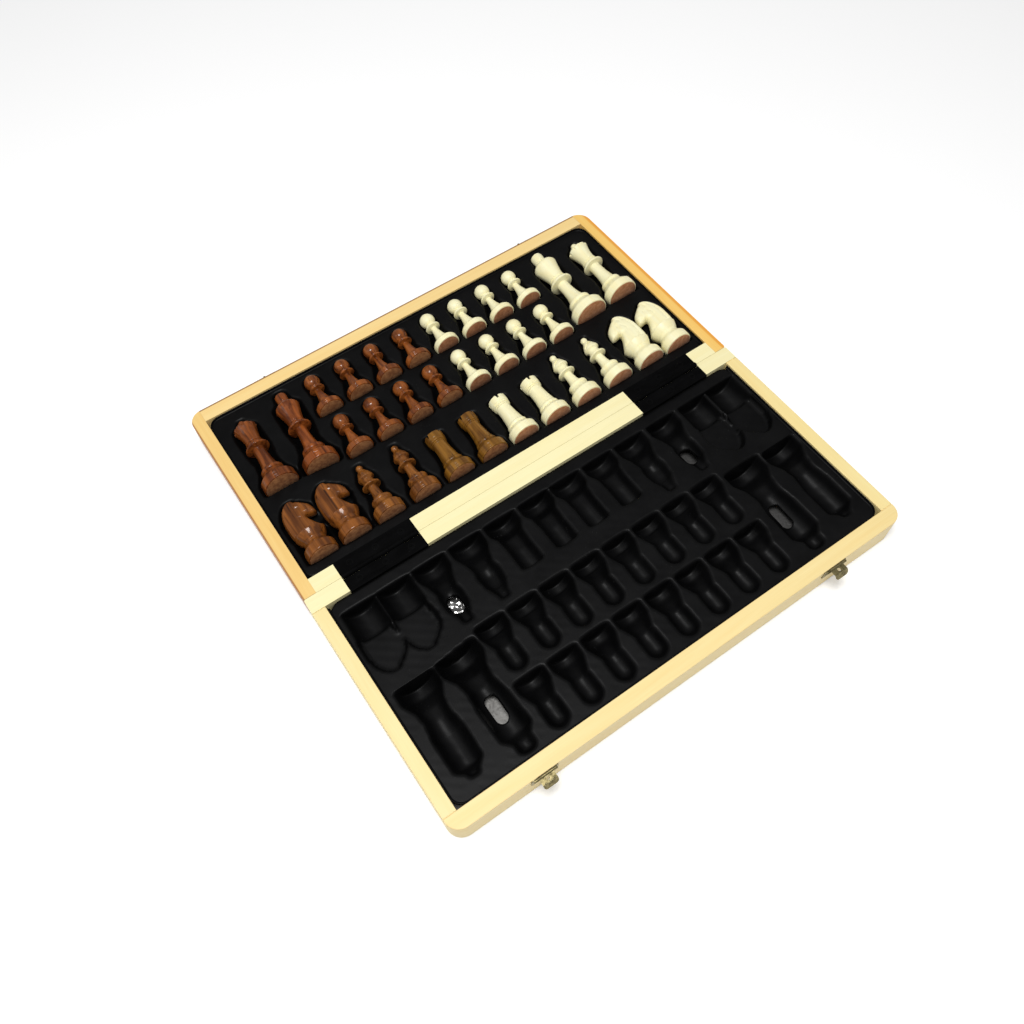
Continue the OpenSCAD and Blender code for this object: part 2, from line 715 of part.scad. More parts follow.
function pawn_pocket(g) = concat(
    [[0, -g], [pawn_base_r + g, -g], [pawn_base_r + g, pawn_foot_h + 1 + g]],
    [[pawn_neck_r + 3 + g, pawn_foot_h + pawn_stem_h * 0.76]],
    [[pawn_collar_r + g, pawn_collar_t - 0.6 - g]],
    [[pawn_collar_r + g, pawn_collar_t + pawn_collar_h + g]],
    ball(pawn_ball_r + g, pawn_len - pawn_ball_r, 0)
);

function knight_pocket(g) = [
    [0, -g], [knight_base_r + g, -g],
    [knight_base_r + g, knight_plinth_h + g], [0, knight_plinth_h + g]
];

// A turned solid lying along +Y, from its base at y = 0
module lathe(profile) {
    rotate([-90, 0, 0]) rotate_extrude() polygon(profile);
}

module horse_block(outline, thick) {
    translate([0, 0, -thick / 2]) linear_extrude(thick) polygon(outline);
}

// Where each kind of piece lies. Light pieces are at +X and dark ones at -X, as a
// mirror image of them. side is 1 for light and -1 for dark. turn swings a piece's head
// towards the middle of the box.
module lay(side, x, y, turn = 0) {
    translate([0, 0, axis_z]) mirror([side < 0 ? 1 : 0, 0, 0])
        translate([x, y, 0]) rotate([0, 0, turn]) children();
}

module lay_king(side) {
    lay(side, side > 0 ? king_x : king_x - dark_king_in, king_y, side > 0 ? 0 : dark_king_turn)
        children();
}

module lay_queen(side) {
    lay(side, side > 0 ? queen_x : queen_x - dark_queen_in, queen_y) children();
}

module lay_knight(side, x) {
    lay(side, x + side * knight_side, near_y) children();
}

// All the pockets of one half, grown by a gap
module pockets(g) {
    for (side = [-1, 1]) {
        for (x = pawn_x) {
            lay(side, x, pawn_y0) lathe(pawn_pocket(g));
            lay(side, x, pawn_y1) lathe(pawn_pocket(g));
        }
        for (x = [rook_x0, rook_x1]) lay(side, x, near_y) lathe(rook_pocket(g));
        for (x = [bishop_x0, bishop_x1]) lay(side, x, near_y) lathe(bishop_pocket(g));
        for (x = [knight_x0, knight_x1]) lay_knight(side, x) {
            lathe(knight_pocket(g));
            horse_block(head_pocket_outline(g), knight_head_t + 2 * g);
        }
        lay_king(side) lathe(king_pocket(g));
        lay_queen(side) lathe(queen_pocket(g));
    }
}

// A slot with round ends, cut down through a pocket's floor
module window(length) {
    for (y = [window_w - length, length - window_w])
        translate([0, y / 2, -pocket_r - skin_t - 1])
            cylinder(h = pocket_r, r = window_w / 2);
    translate([-window_w / 2, (window_w - length) / 2, -pocket_r - skin_t - 1])
        cube([window_w, length - window_w, pocket_r]);
}

module tray_plan(inset = 0) {
    w = inner_w - tray_fit - inset;
    y0 = hinge_wall_t + tray_fit;
    y1 = inner_y - tray_fit - inset;
    r = tray_corner_r - inset;
    translate([-w + r, y0]) square([2 * (w - r), y1 - y0]);
    translate([-w, y0 + r]) square([2 * w, y1 - y0 - 2 * r]);
    both_sides(w - r) {
        translate([0, y0 + r]) circle(r);
        translate([0, y1 - r]) circle(r);
    }
}

module tray() {
    king_window_t = king_collar_t + king_collar_h + 1.5;
    bishop_window_t = bishop_collar_t + bishop_collar_h + 4;
    difference() {
        union() {
            translate([0, 0, tray_z - skin_t]) linear_extrude(skin_t) tray_plan();
            difference() {
                translate([0, 0, tray_z - skin_t / 2]) linear_extrude(tray_lip_h + skin_t / 2) tray_plan();
                translate([0, 0, tray_z]) linear_extrude(tray_lip_h + 1) tray_plan(skin_t);
                translate([-inner_w, 0, tray_z]) cube([2 * inner_w, hinge_wall_t + leaf_lip_t + 1, tray_lip_h + 1]);
            }
            intersection() {
                pockets(pocket_fit + skin_t);
                translate([-inner_w, hinge_wall_t, panel_t])
                    cube([2 * inner_w, inner_y - hinge_wall_t, tray_z - panel_t]);
            }
        }
        pockets(pocket_fit);
        for (side = [-1, 1]) {
            lay_king(side) translate([0, king_window_t, 0]) window(king_window_l);
            lay(side, bishop_x1, near_y + bishop_window_t) window(bishop_window_l);
        }
    }
}

module base_tray() {
    color(flock) at_base() tray();
}

module lid_tray() {
    color(flock) at_lid() tray();
}

// One half of both hinges. The first knuckle is number 0, and a leaf owns every other
// one, starting at own. Its plate is cut back round the other leaf's knuckles.
module hinge_leaves(own) {
    both_sides(hinge_x) difference() {
        union() {
            translate([-hinge_l / 2, seam_gap / 2, half_h - leaf_t])
                cube([hinge_l, leaf_in + leaf_lip_t - seam_gap / 2, leaf_t]);
            translate([-hinge_l / 2, leaf_in, tray_z + leaf_lip_gap])
                cube([hinge_l, leaf_lip_t, half_h - tray_z - leaf_lip_gap]);
            for (i = [own : 2 : knuckles - 1])
                translate([i * (knuckle_w + knuckle_gap) - stack_l / 2, 0, hinge_z])
                    rotate([0, 90, 0]) cylinder(h = knuckle_w, r = knuckle_r);
        }
        for (i = [1 - own : 2 : knuckles - 1])
            translate([i * (knuckle_w + knuckle_gap) - stack_l / 2 - knuckle_gap, 0, hinge_z])
                rotate([0, 90, 0])
                    cylinder(h = knuckle_w + 2 * knuckle_gap, r = relief_r);
        for (x = [-hinge_l / 2 - 1, stack_l / 2])
            translate([x, 0, hinge_z]) rotate([0, 90, 0])
                cylinder(h = pin_cap_t + knuckle_gap + 1, r = relief_r);
        translate([-hinge_l / 2 - 1, 0, hinge_z]) rotate([0, 90, 0])
            cylinder(h = hinge_l + 2, r = hinge_pin_r + pin_fit);
        for (i = [0 : screws - 1])
            translate([(i + 0.5) * screw_pitch - hinge_l / 2, screw_y, half_h - leaf_t])
                screw_shape(screw_fit, leaf_t, leaf_t);
    }
}

// A countersunk head with its face at z = leaf_t, and a shank down from there
module screw_shape(gap, down, up) {
    translate([0, 0, -down]) cylinder(h = down + up, r = screw_r + gap);
    cylinder(h = leaf_t, r1 = screw_r + gap, r2 = screw_head_r - screw_fit + gap);
}

module hinge_screws() {
    cross_w = screw_head_r * 0.28;
    cross_l = screw_head_r * 1.1;
    both_sides(hinge_x) for (i = [0 : screws - 1])
        translate([(i + 0.5) * screw_pitch - hinge_l / 2, screw_y, half_h - leaf_t])
            difference() {
                screw_shape(0, screw_l - leaf_t, leaf_t);
                translate([-cross_l / 2, -cross_w / 2, leaf_t / 2])
                    cube([cross_l, cross_w, leaf_t]);
                translate([-cross_w / 2, -cross_l / 2, leaf_t / 2])
                    cube([cross_w, cross_l, leaf_t]);
            }
}

module base_hinge_leaves() {
    color(black_iron) at_base() hinge_leaves(0);
}

module lid_hinge_leaves() {
    color(black_iron) at_lid() hinge_leaves(1);
}

// Each pin has a flat cap at both ends, seated on the base leaf's outer knuckles
module hinge_pins() {
    color(black_iron) at_base() both_sides(hinge_x)
        translate([-stack_l / 2, 0, hinge_z]) rotate([0, 90, 0]) {
            translate([0, 0, -pin_cap_t])
                cylinder(h = stack_l + 2 * pin_cap_t, r = hinge_pin_r);
            translate([0, 0, -pin_cap_t]) cylinder(h = pin_cap_t, r = pin_cap_r);
            translate([0, 0, stack_l]) cylinder(h = pin_cap_t, r = pin_cap_r);
        }
}

module base_hinge_screws() {
    color(black_iron) at_base() hinge_screws();
}

module lid_hinge_screws() {
    color(black_iron) at_lid() hinge_screws();
}

// A plate flat on an end wall's outer face, with its corners rounded
module wall_plate(height, drop) {
    r = 1.2;
    translate([0, half_d + plate_t, half_h - drop - height]) rotate([90, 0, 0])
        linear_extrude(plate_t) union() {
            translate([-plate_w / 2 + r, 0]) square([plate_w - 2 * r, height]);
            translate([-plate_w / 2, r]) square([plate_w, height - 2 * r]);
            both_sides(plate_w / 2 - r) {
                translate([0, r]) circle(r);
                translate([0, height - r]) circle(r);
            }
        }
}

module plate_nail_holes(drop) {
    both_sides(nail_x) translate([0, half_d + plate_t + 1, half_h - drop]) rotate([90, 0, 0])
        cylinder(h = plate_t + 2, r = nail_r + screw_fit);
}

// The barrel axis of a latch runs along X through this point
module at_pivot() {
    translate([0, half_d + pivot_out, pivot_z]) children();
}

module latch_plates() {
    window_x = hasp_w / 2 + hasp_gap;
    color(brass) at_lid() both_sides(latch_x) difference() {
        union() {
            wall_plate(latch_plate_h, latch_plate_drop);
            for (x = [window_x, -window_x - ear_w])
                at_pivot() translate([x, 0, 0]) rotate([0, 90, 0])
                    cylinder(h = ear_w, r = barrel_r);
        }
        translate([-window_x, half_d - 1, pivot_z - barrel_r - 0.3])
            cube([2 * window_x, plate_t + 2, latch_plate_h]);
        at_pivot() translate([-plate_w / 2, 0, 0]) rotate([0, 90, 0])
            cylinder(h = plate_w, r = hasp_pin_r);
        plate_nail_holes(latch_nail_drop);
    }
}

module hasp_pins() {
    pin_w = hasp_w + 2 * (hasp_gap + ear_w);
    color(brass) at_lid() both_sides(latch_x)
        at_pivot() translate([-pin_w / 2, 0, 0]) rotate([0, 90, 0])
            cylinder(h = pin_w, r = hasp_pin_r);
}

// The finger tab narrows to round corners
module tab_plan() {
    r = 2.4;
    translate([-hasp_w / 2, 0]) square([hasp_w, tab_l - r]);
    translate([-hasp_w / 2 + r, 0]) square([hasp_w - 2 * r, tab_l]);
    both_sides(hasp_w / 2 - r) translate([0, tab_l - r]) circle(r);
}

module hasp() {
    at_pivot() difference() {
        union() {
            translate([-hasp_w / 2, 0, 0]) rotate([0, 90, 0])
                cylinder(h = hasp_w, r = barrel_r);
            translate([-hasp_w / 2, 0, -hasp_t / 2]) cube([hasp_w, hasp_l, hasp_t]);
            translate([-hasp_w / 2, hasp_l, 0]) rotate([0, 90, 0])
                cylinder(h = hasp_w, r = hasp_t / 2);
            translate([0, hasp_l, 0]) rotate([-tab_bend, 0, 0])
                translate([0, 0, -hasp_t / 2]) linear_extrude(hasp_t) tab_plan();
        }
        translate([-hasp_w / 2 - 1, 0, 0]) rotate([0, 90, 0])
            cylinder(h = hasp_w + 2, r = hasp_pin_r + pin_fit);
        translate([0, stud_reach, -hasp_t]) cylinder(h = 2 * hasp_t, r = hole_r);
    }
}

module hasp_left() {
    color(brass) at_lid() translate([-latch_x, 0, 0]) hasp();
}

module hasp_right() {
    color(brass) at_lid() translate([latch_x, 0, 0]) hasp();
}

// The stud has a domed end and is riveted into its plate
module catch_plates() {
    color(brass) at_base() both_sides(latch_x) difference() {
        union() {
            wall_plate(catch_plate_h, catch_plate_drop);
            translate([0, half_d, stud_z]) rotate([-90, 0, 0])
                cylinder(h = stud_out - stud_r, r = stud_r);
            translate([0, half_d + stud_out - stud_r, stud_z]) intersection() {
                sphere(stud_r);
                translate([-stud_r, -plate_t / 2, -stud_r])
                    cube([2 * stud_r, 2 * stud_r, 2 * stud_r]);
            }
        }
        plate_nail_holes(catch_nail_drop);
    }
}

// Round-headed nails, with their heads seated on a plate
module nails(drop) {
    both_sides(latch_x) both_sides(nail_x)
        translate([0, half_d, half_h - drop]) rotate([-90, 0, 0]) {
            translate([0, 0, -nail_l]) cylinder(h = nail_l + plate_t, r = nail_r);
            translate([0, 0, plate_t]) cylinder(h = nail_head_t / 2, r = nail_head_r);
            translate([0, 0, plate_t + nail_head_t / 2])
                cylinder(h = nail_head_t / 2, r1 = nail_head_r, r2 = nail_head_r * 0.6);
        }
}

module latch_nails() {
    color(brass) at_lid() nails(latch_nail_drop);
}

module catch_nails() {
    color(brass) at_base() nails(catch_nail_drop);
}

// The pieces. Each has a felt disc under its base, as a solid of its own.
module felt_disc(r) {
    color(felt_brown) rotate([-90, 0, 0]) cylinder(h = felt_t, r = r - felt_edge);
}

module colored_piece(side, base_r) {
    color(side > 0 ? light_wood : dark_wood) children();
    felt_disc(base_r);
}

// The dark king is a little slimmer and shorter than the light one
module king(side) {
    girth = side > 0 ? 1 : dark_king_girth;
    length = side > 0 ? 1 : dark_king_length;
    at_base() lay_king(side) colored_piece(side, king_base_r * girth)
        lathe([for (p = king_profile())
            [p[0] * girth, p[1] < 1 ? p[1] : p[1] * length]]);
}

// The queen's coronet has small round scallops in its edge
module queen(side) {
    scallops = 9;
    at_base() lay_queen(side) colored_piece(side, queen_base_r) difference() {
        lathe(queen_profile());
        for (i = [0 : scallops - 1])
            translate([0, queen_len - 8.1, 0]) rotate([0, i * 360 / scallops, 0])
                translate([0, 0, queen_head_r - 1.4]) cylinder(h = 3, r = 1.2);
    }
}

// The rook's tower is hollow, with four gaps in its parapet
module rook(side, x) {
    gap_w = 2;
    tower_d = 3;
    turn = side > 0 ? 0 : 45;
    at_base() lay(side, x, near_y) colored_piece(side, rook_base_r) difference() {
        lathe(rook_profile());
        translate([0, rook_len - tower_d, 0]) rotate([-90, 0, 0])
            cylinder(h = tower_d + 1, r = rook_head_r - 2.2);
        for (quarter = [0, 90])
            translate([0, rook_len - tower_d, 0]) rotate([0, turn + quarter, 0])
                translate([-rook_head_r - 1, 0, -gap_w / 2])
                    cube([2 * rook_head_r + 2, tower_d + 1, gap_w]);
    }
}

// The bishop's mitre has one slanting cut
module bishop(side, x) {
    cut_w = 1.1;
    at_base() lay(side, x, near_y) colored_piece(side, bishop_base_r) difference() {
        lathe(bishop_profile());
        translate([1.5, bishop_len - 10.5, 0]) rotate([0, 0, 55])
            translate([0, -cut_w / 2, -bishop_head_r])
                cube([bishop_head_r * 2, cut_w, 2 * bishop_head_r]);
    }
}

module knight(side, x) {
    at_base() lay_knight(side, x) colored_piece(side, knight_base_r) {
        lathe(knight_profile());
        horse_block(head_outline(), knight_head_t);
    }
}

// Pawns 1 to 4 are in the row by the near pieces, and 5 to 8 by the far wall
module pawn(side, number) {
    x = pawn_x[(number - 1) % 4];
    y = number > 4 ? pawn_y1 : pawn_y0;
    at_base() lay(side, x, y) colored_piece(side, pawn_base_r) lathe(pawn_profile());
}

base_far_wall();
base_left_wall();
base_right_wall();
base_hinge_wall();
base_panel();
base_light_squares();
base_liner();
base_tray();
lid_front_wall();
lid_left_wall();
lid_right_wall();
lid_hinge_wall();
lid_panel();
lid_light_squares();
lid_liner();
lid_tray();
base_hinge_leaves();
lid_hinge_leaves();
hinge_pins();
base_hinge_screws();
lid_hinge_screws();
latch_plates();
latch_nails();
hasp_left();
hasp_right();
hasp_pins();
catch_plates();
catch_nails();
king(1);  // king_light
queen(1);  // queen_light
rook(1, rook_x0);  // rook_light_1
rook(1, rook_x1);  // rook_light_2
bishop(1, bishop_x0);  // bishop_light_1
bishop(1, bishop_x1);  // bishop_light_2
knight(1, knight_x0);  // knight_light_1
knight(1, knight_x1);  // knight_light_2
pawn(1, 1);  // pawn_light_1
pawn(1, 2);  // pawn_light_2
pawn(1, 3);  // pawn_light_3
pawn(1, 4);  // pawn_light_4
pawn(1, 5);  // pawn_light_5
pawn(1, 6);  // pawn_light_6
pawn(1, 7);  // pawn_light_7
pawn(1, 8);  // pawn_light_8
king(-1);  // king_dark
queen(-1);  // queen_dark
rook(-1, rook_x0);  // rook_dark_1
rook(-1, rook_x1);  // rook_dark_2
bishop(-1, bishop_x0);  // bishop_dark_1
bishop(-1, bishop_x1);  // bishop_dark_2
knight(-1, knight_x0);  // knight_dark_1
knight(-1, knight_x1);  // knight_dark_2
pawn(-1, 1);  // pawn_dark_1
pawn(-1, 2);  // pawn_dark_2
pawn(-1, 3);  // pawn_dark_3
pawn(-1, 4);  // pawn_dark_4
pawn(-1, 5);  // pawn_dark_5
pawn(-1, 6);  // pawn_dark_6
pawn(-1, 7);  // pawn_dark_7
pawn(-1, 8);  // pawn_dark_8
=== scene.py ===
import math

import bpy
import numpy as np
from mathutils import Matrix, Vector


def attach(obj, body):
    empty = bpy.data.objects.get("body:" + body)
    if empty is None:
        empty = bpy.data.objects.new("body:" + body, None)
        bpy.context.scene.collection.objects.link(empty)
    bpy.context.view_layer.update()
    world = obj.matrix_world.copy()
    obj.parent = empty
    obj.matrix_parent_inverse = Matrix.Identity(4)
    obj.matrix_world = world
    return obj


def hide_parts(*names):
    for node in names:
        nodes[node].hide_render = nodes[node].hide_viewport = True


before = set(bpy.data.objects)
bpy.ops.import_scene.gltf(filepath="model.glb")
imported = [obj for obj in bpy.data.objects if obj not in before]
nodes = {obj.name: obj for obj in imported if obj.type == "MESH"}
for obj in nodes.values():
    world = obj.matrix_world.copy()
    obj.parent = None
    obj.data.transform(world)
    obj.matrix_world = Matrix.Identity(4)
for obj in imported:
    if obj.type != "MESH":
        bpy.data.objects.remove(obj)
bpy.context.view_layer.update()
scene = bpy.context.scene
scene.view_settings.view_transform = "Standard"
MM = 0.001

# Sizes in millimetres, as in the CAD. Y is measured from the seam between the halves.
SEAM_Y = 3.3299
AXIS_Z, TRAY_Z, LINER_Z = 21.5, 22.0, 4.5
INNER_W, INNER_Y, HINGE_WALL = 180.0, 178.0, 12.5
TRAY_CORNER, TRAY_FIT, FIT, LIP = 9.0, 0.3, 0.8, 2.0
WINDOW_W, KING_WINDOW, BISHOP_WINDOW = 9.0, (45.2, 10.5), (35.2, 7.5)
SKIN = 0.7
FELT_IN, FELT_T, FELT_SIDES = 1.1, 0.4, 56
HEAD_T = 11.4
NEAR_Y = 23.9
PAWN_X = [13.5, 40.5, 67.5, 94.5]
PAWN_Y = [86.0, 132.7]
ROOK_X, BISHOP_X = [14.3, 44.1], [73.9, 104.6]
# The places that differ between the light side, 1, and the dark side, -1
KNIGHT_X = {1: [135.9, 163.3], -1: [133.5, 160.9]}
KING_X, KING_Y, KING_TURN = {1: 126.9, -1: 124.9}, 91.0, {1: 0.0, -1: math.radians(2.5)}
KING_GIRTH, KING_LENGTH = {1: 1.0, -1: 0.92}, {1: 1.0, -1: 0.963}
QUEEN_X, QUEEN_Y = {1: 160.9, -1: 158.2}, 93.0


# Profiles of the turned pieces, as [radius, distance from the base]

def bead(r0, r1, t0, t1, n=9):
    return [[r0 + (r1 - r0) * math.sin(math.pi * i / n),
             (t0 + t1) / 2 - (t1 - t0) / 2 * math.cos(math.pi * i / n)] for i in range(n + 1)]


def curve(r0, r1, t0, t1, power, n=9):
    return [[r0 + (r1 - r0) * (i / n) ** power, t0 + (t1 - t0) * i / n] for i in range(n + 1)]


def stem(low, neck, t0, t1, power, n=14):
    return [[neck + (low - neck) * (1 - i / n) ** power, t0 + (t1 - t0) * i / n] for i in range(n + 1)]


def ball(r, t, a0, n=12):
    out = []
    for i in range(n + 1):
        a = math.radians(a0 + (90 - a0) * i / n)
        out.append([r * math.cos(a), t + r * math.sin(a)])
    return out


def groove(r, t):
    """A fine turned line round a foot."""
    return [[r, t - 0.22], [r - 0.16, t], [r, t + 0.22]]


def foot(r, h):
    return ([[0, 0.45], [r - 0.4, 0.45], [r, 0.85]] + groove(r, h * 0.36) + groove(r, h * 0.7) +
            [[r, h], [r - 1, h + 1.3]])


def king_profile():
    b, f, c, n = 10.1, 7.6, 41.5, 80.8
    return (foot(15.1, f) + [[b + 1.6, f + 4], [b - 0.5, f + 6.5]] + bead(b - 0.8, b, f + 7, f + 10.5) +
            stem(b - 2.3, 4.9, f + 11.1, c - 0.5, 3) + bead(9.4, 10.4, c, c + 2.2) + [[7.6, c + 3.2]] +
            curve(7.4, 6.8, c + 3.6, c + 5.8, 1) + bead(6.9, 7.5, c + 6, c + 7.3) +
            curve(7.0, 10.6, c + 7.6, n - 16.3, 1.3) + curve(10.6, 5.2, n - 15.8, n - 10.8, 2.2) +
            [[4.3, n - 10.4], [4.3, n - 9.4], [5.0, n - 8.8], [5.4, n - 3], [4.9, n - 0.9], [3.4, n], [0, n]])


def queen_profile():
    b, f, c, n = 9.1, 7.2, 40.0, 71.2
    return (foot(13.9, f) + [[b + 1.6, f + 4], [b - 0.5, f + 6.8]] + bead(b - 0.8, b, f + 7.4, f + 10.5) +
            stem(b - 2.1, 4.9, f + 11.1, c - 0.5, 3) + bead(8.6, 9.6, c, c + 2) + [[7.0, c + 3]] +
            curve(6.8, 6.2, c + 3.4, c + 5.6, 1) + bead(6.3, 6.9, c + 5.8, c + 7.1) +
            curve(6.4, 9.4, c + 7.4, n - 9, 2) + [[9.1, n - 8.2]] +
            curve(8.2, 2.6, n - 8.2, n - 4.8, 2) + ball(2.8, n - 2.8, -30))


def rook_profile():
    b, f, c, n = 8.5, 6.6, 31.9, 41.1
    return (foot(11.9, f) + [[b + 0.7, f + 3]] + bead(b - 0.5, b, f + 4.4, f + 6.8) +
            stem(b - 0.9, 5.9, f + 7.4, c - 0.4, 2) + bead(6.2, 6.9, c, c + 1.2, 5) +
            bead(6.6, 7.3, c + 1.5, c + 3, 5) + [[7.0, c + 3.4], [7.6, c + 4.2]] +
            [[7.6, n - 0.3], [7.3, n], [5.6, n], [5.4, n - 0.2], [5.3, n - 3], [0, n - 3]])


def bishop_profile():
    b, f, c, n = 8.3, 7.2, 29.5, 51.3
    mitre = [[5.5, n - 14.2], [6.4, n - 13.6]]
    for i in range(25):
        mitre.append([6.5 - 3.6 * (i / 24) ** 1.25, n - 12.8 + 7.4 * i / 24])
    return (foot(11.9, f) + [[b + 0.4, f + 3.4], [b - 0.5, f + 5.4]] + bead(b - 0.6, b, f + 6.4, f + 9.1) +
            stem(b - 2.9, 3.7, f + 9.7, c - 0.4, 3) + bead(6.7, 7.6, c, c + 1.7) + [[5.6, c + 2.7]] +
            [[4.7, c + 4.7], [4.6, n - 15.2]] + mitre + ball(2.8, n - 2.8, -50))


def pawn_profile():
    f, c, n = 4.8, 23.2, 38.8
    return (foot(10.7, f) + [[7.9, f + 2.5]] + stem(5.6, 2.6, f + 3.9, c - 0.4, 1.6) +
            bead(5.5, 6.4, c, c + 1.5) + [[4.9, c + 2.1]] + bead(4.5, 5, c + 2.3, c + 3.2, 5) +
            ball(6.4, n - 6.4, -58, 16))


def knight_profile():
    f = 7.3
    return (foot(12.2, f) + [[9.2, f + 3.9]] + bead(8.5, 9, f + 4.6, f + 6.2) +
            curve(8.7, 12.2, f + 6.6, 20.6, 0.7) + [[11.6, 21], [0, 21.6]])


FACE = [[10.2, -2], [12.2, 1], [12.8, 5], [12.9, 10], [12.7, 16], [11.9, 20.8], [10.2, 25.2], [7.8, 28.6],
        [5, 30.9], [2.6, 31.8], [0.6, 32], [-1.2, 31.3], [-1.6, 29.3], [-3.8, 28.8], [-7, 26], [-9.6, 24],
        [-11.6, 21.2], [-12.4, 18.4], [-12.7, 15.4], [-12.9, 13.4]]
THROAT = [[-11, 12.9], [-7.6, 13.4], [-4, 14.8], [-5.6, 10], [-8.2, 5.6]]
CHEST = [[-10.8, 1.4], [-12, -1], [-11.6, -2]]
PLINTH = 21.0
KNIGHT_R = 12.2

POCKETS = {
    "king": [[15.1, 0], [15.1, 8.6], [10.1, 18.1], [8.5, 28.6], [10.4, 41.5], [10.4, 43.7], [10.6, 60.8],
             [10.6, 66.3], [5.4, 72.2], [5.4, 79.3], [3.5, 80.8]],
    "queen": [[13.9, 0], [13.9, 8.2], [9.1, 17.7], [7.7, 27.5], [9.6, 40], [9.6, 42], [9.4, 57.2],
              [9.4, 63.8], [3.8, 68.8], [3, 71.2]],
    "rook": [[11.9, 0], [11.9, 7.6], [8.5, 13.6], [7.5, 24.8], [7.6, 30.9], [7.6, 41.1]],
    "bishop": [[11.9, 0], [11.9, 8.2], [8.3, 16.3], [6.3, 24.6], [7.6, 29.5], [7.6, 31.2], [6.9, 39.3],
               [3.4, 47.3], [3, 51.3]],
    "pawn": [[10.7, 0], [10.7, 5.8], [5.6, 18.8], [6.4, 22.6], [6.4, 24.7]] + ball(6.4, 32.4, 0, 10)[:-1],
    "knight": [[12.2, 0], [12.2, 21]],
}


# Node trees

def rgb(r, g, b):
    """A linear colour from the numbers that it shows as."""
    out = [c / 255 / 12.92 if c <= 10 else ((c / 255 + 0.055) / 1.055) ** 2.4 for c in (r, g, b)]
    return (*out, 1.0)


class Tree:
    """A material being wired up."""

    def __init__(self, name, **values):
        self.mat = bpy.data.materials.new(name)
        self.mat.use_nodes = True
        self.t = self.mat.node_tree
        self.shader = self.t.nodes["Principled BSDF"]
        for key, value in values.items():
            self.put(self.shader.inputs[key.replace("_", " ")], value)
        self.coords = self.t.nodes.new("ShaderNodeTexCoord").outputs["Object"]

    def put(self, socket, value):
        if isinstance(value, bpy.types.NodeSocket):
            self.t.links.new(value, socket)
        else:
            socket.default_value = value

    def add(self, kind, out, inputs, **props):
        n = self.t.nodes.new("ShaderNode" + kind)
        for key, value in props.items():
            setattr(n, key, value)
        for key, value in inputs.items():
            self.put(n.inputs[key], value)
        return n.outputs[out]

    def place(self, scale=(1, 1, 1), move=(0, 0, 0), turn=(0, 0, 0), vector=None):
        return self.add("Mapping", 0, {"Vector": vector or self.coords, "Scale": scale, "Location": move,
                                       "Rotation": turn})

    def noise(self, vector, scale, detail=3.0, rough=0.5, distort=0.0):
        return self.add("TexNoise", 0, {"Vector": vector, "Scale": scale, "Detail": detail,
                                        "Roughness": rough, "Distortion": distort})

    def cells(self, vector, scale, out="Distance"):
        return self.add("TexVoronoi", out, {"Vector": vector, "Scale": scale})

    def mix(self, f, a, b, mode="MIX"):
        return self.add("Mix", 2, {0: f, 6: a, 7: b}, data_type="RGBA", blend_type=mode)

    def math(self, op, a, b=0.0, c=0.0, clamp=False):
        return self.add("Math", 0, {0: a, 1: b, 2: c}, operation=op, use_clamp=clamp)

    def span(self, value, a, b, c=0.0, d=1.0, smooth=False):
        """value from a to b becomes c to d, clamped."""
        return self.add("MapRange", 0, {0: value, 1: a, 2: b, 3: c, 4: d}, clamp=True,
                        interpolation_type="SMOOTHSTEP" if smooth else "LINEAR")

    def axis(self, name, vector=None):
        return self.add("SeparateXYZ", name, {0: vector or self.coords})

    def bump(self, height, strength, distance, normal=None):
        inputs = {"Height": height, "Strength": strength, "Distance": distance}
        if normal is not None:
            inputs["Normal"] = normal
        return self.add("Bump", 0, inputs)

    def edge(self, radius):
        """1 where a rounded-off copy of the surface would turn, 0 on flats."""
        soft = self.add("Bevel", 0, {"Radius": radius}, samples=6)
        hard = self.add("NewGeometry", "Normal", {})
        same = self.add("VectorMath", "Value", {0: soft, 1: hard}, operation="DOT_PRODUCT")
        return self.span(same, 0.995, 0.9, 0.0, 1.0)

    def finish(self, color=None, rough=None, normal=None, **more):
        for key, value in {"Base Color": color, "Roughness": rough, "Normal": normal, **more}.items():
            if value is not None:
                self.put(self.shader.inputs[key], value)
        return self.mat


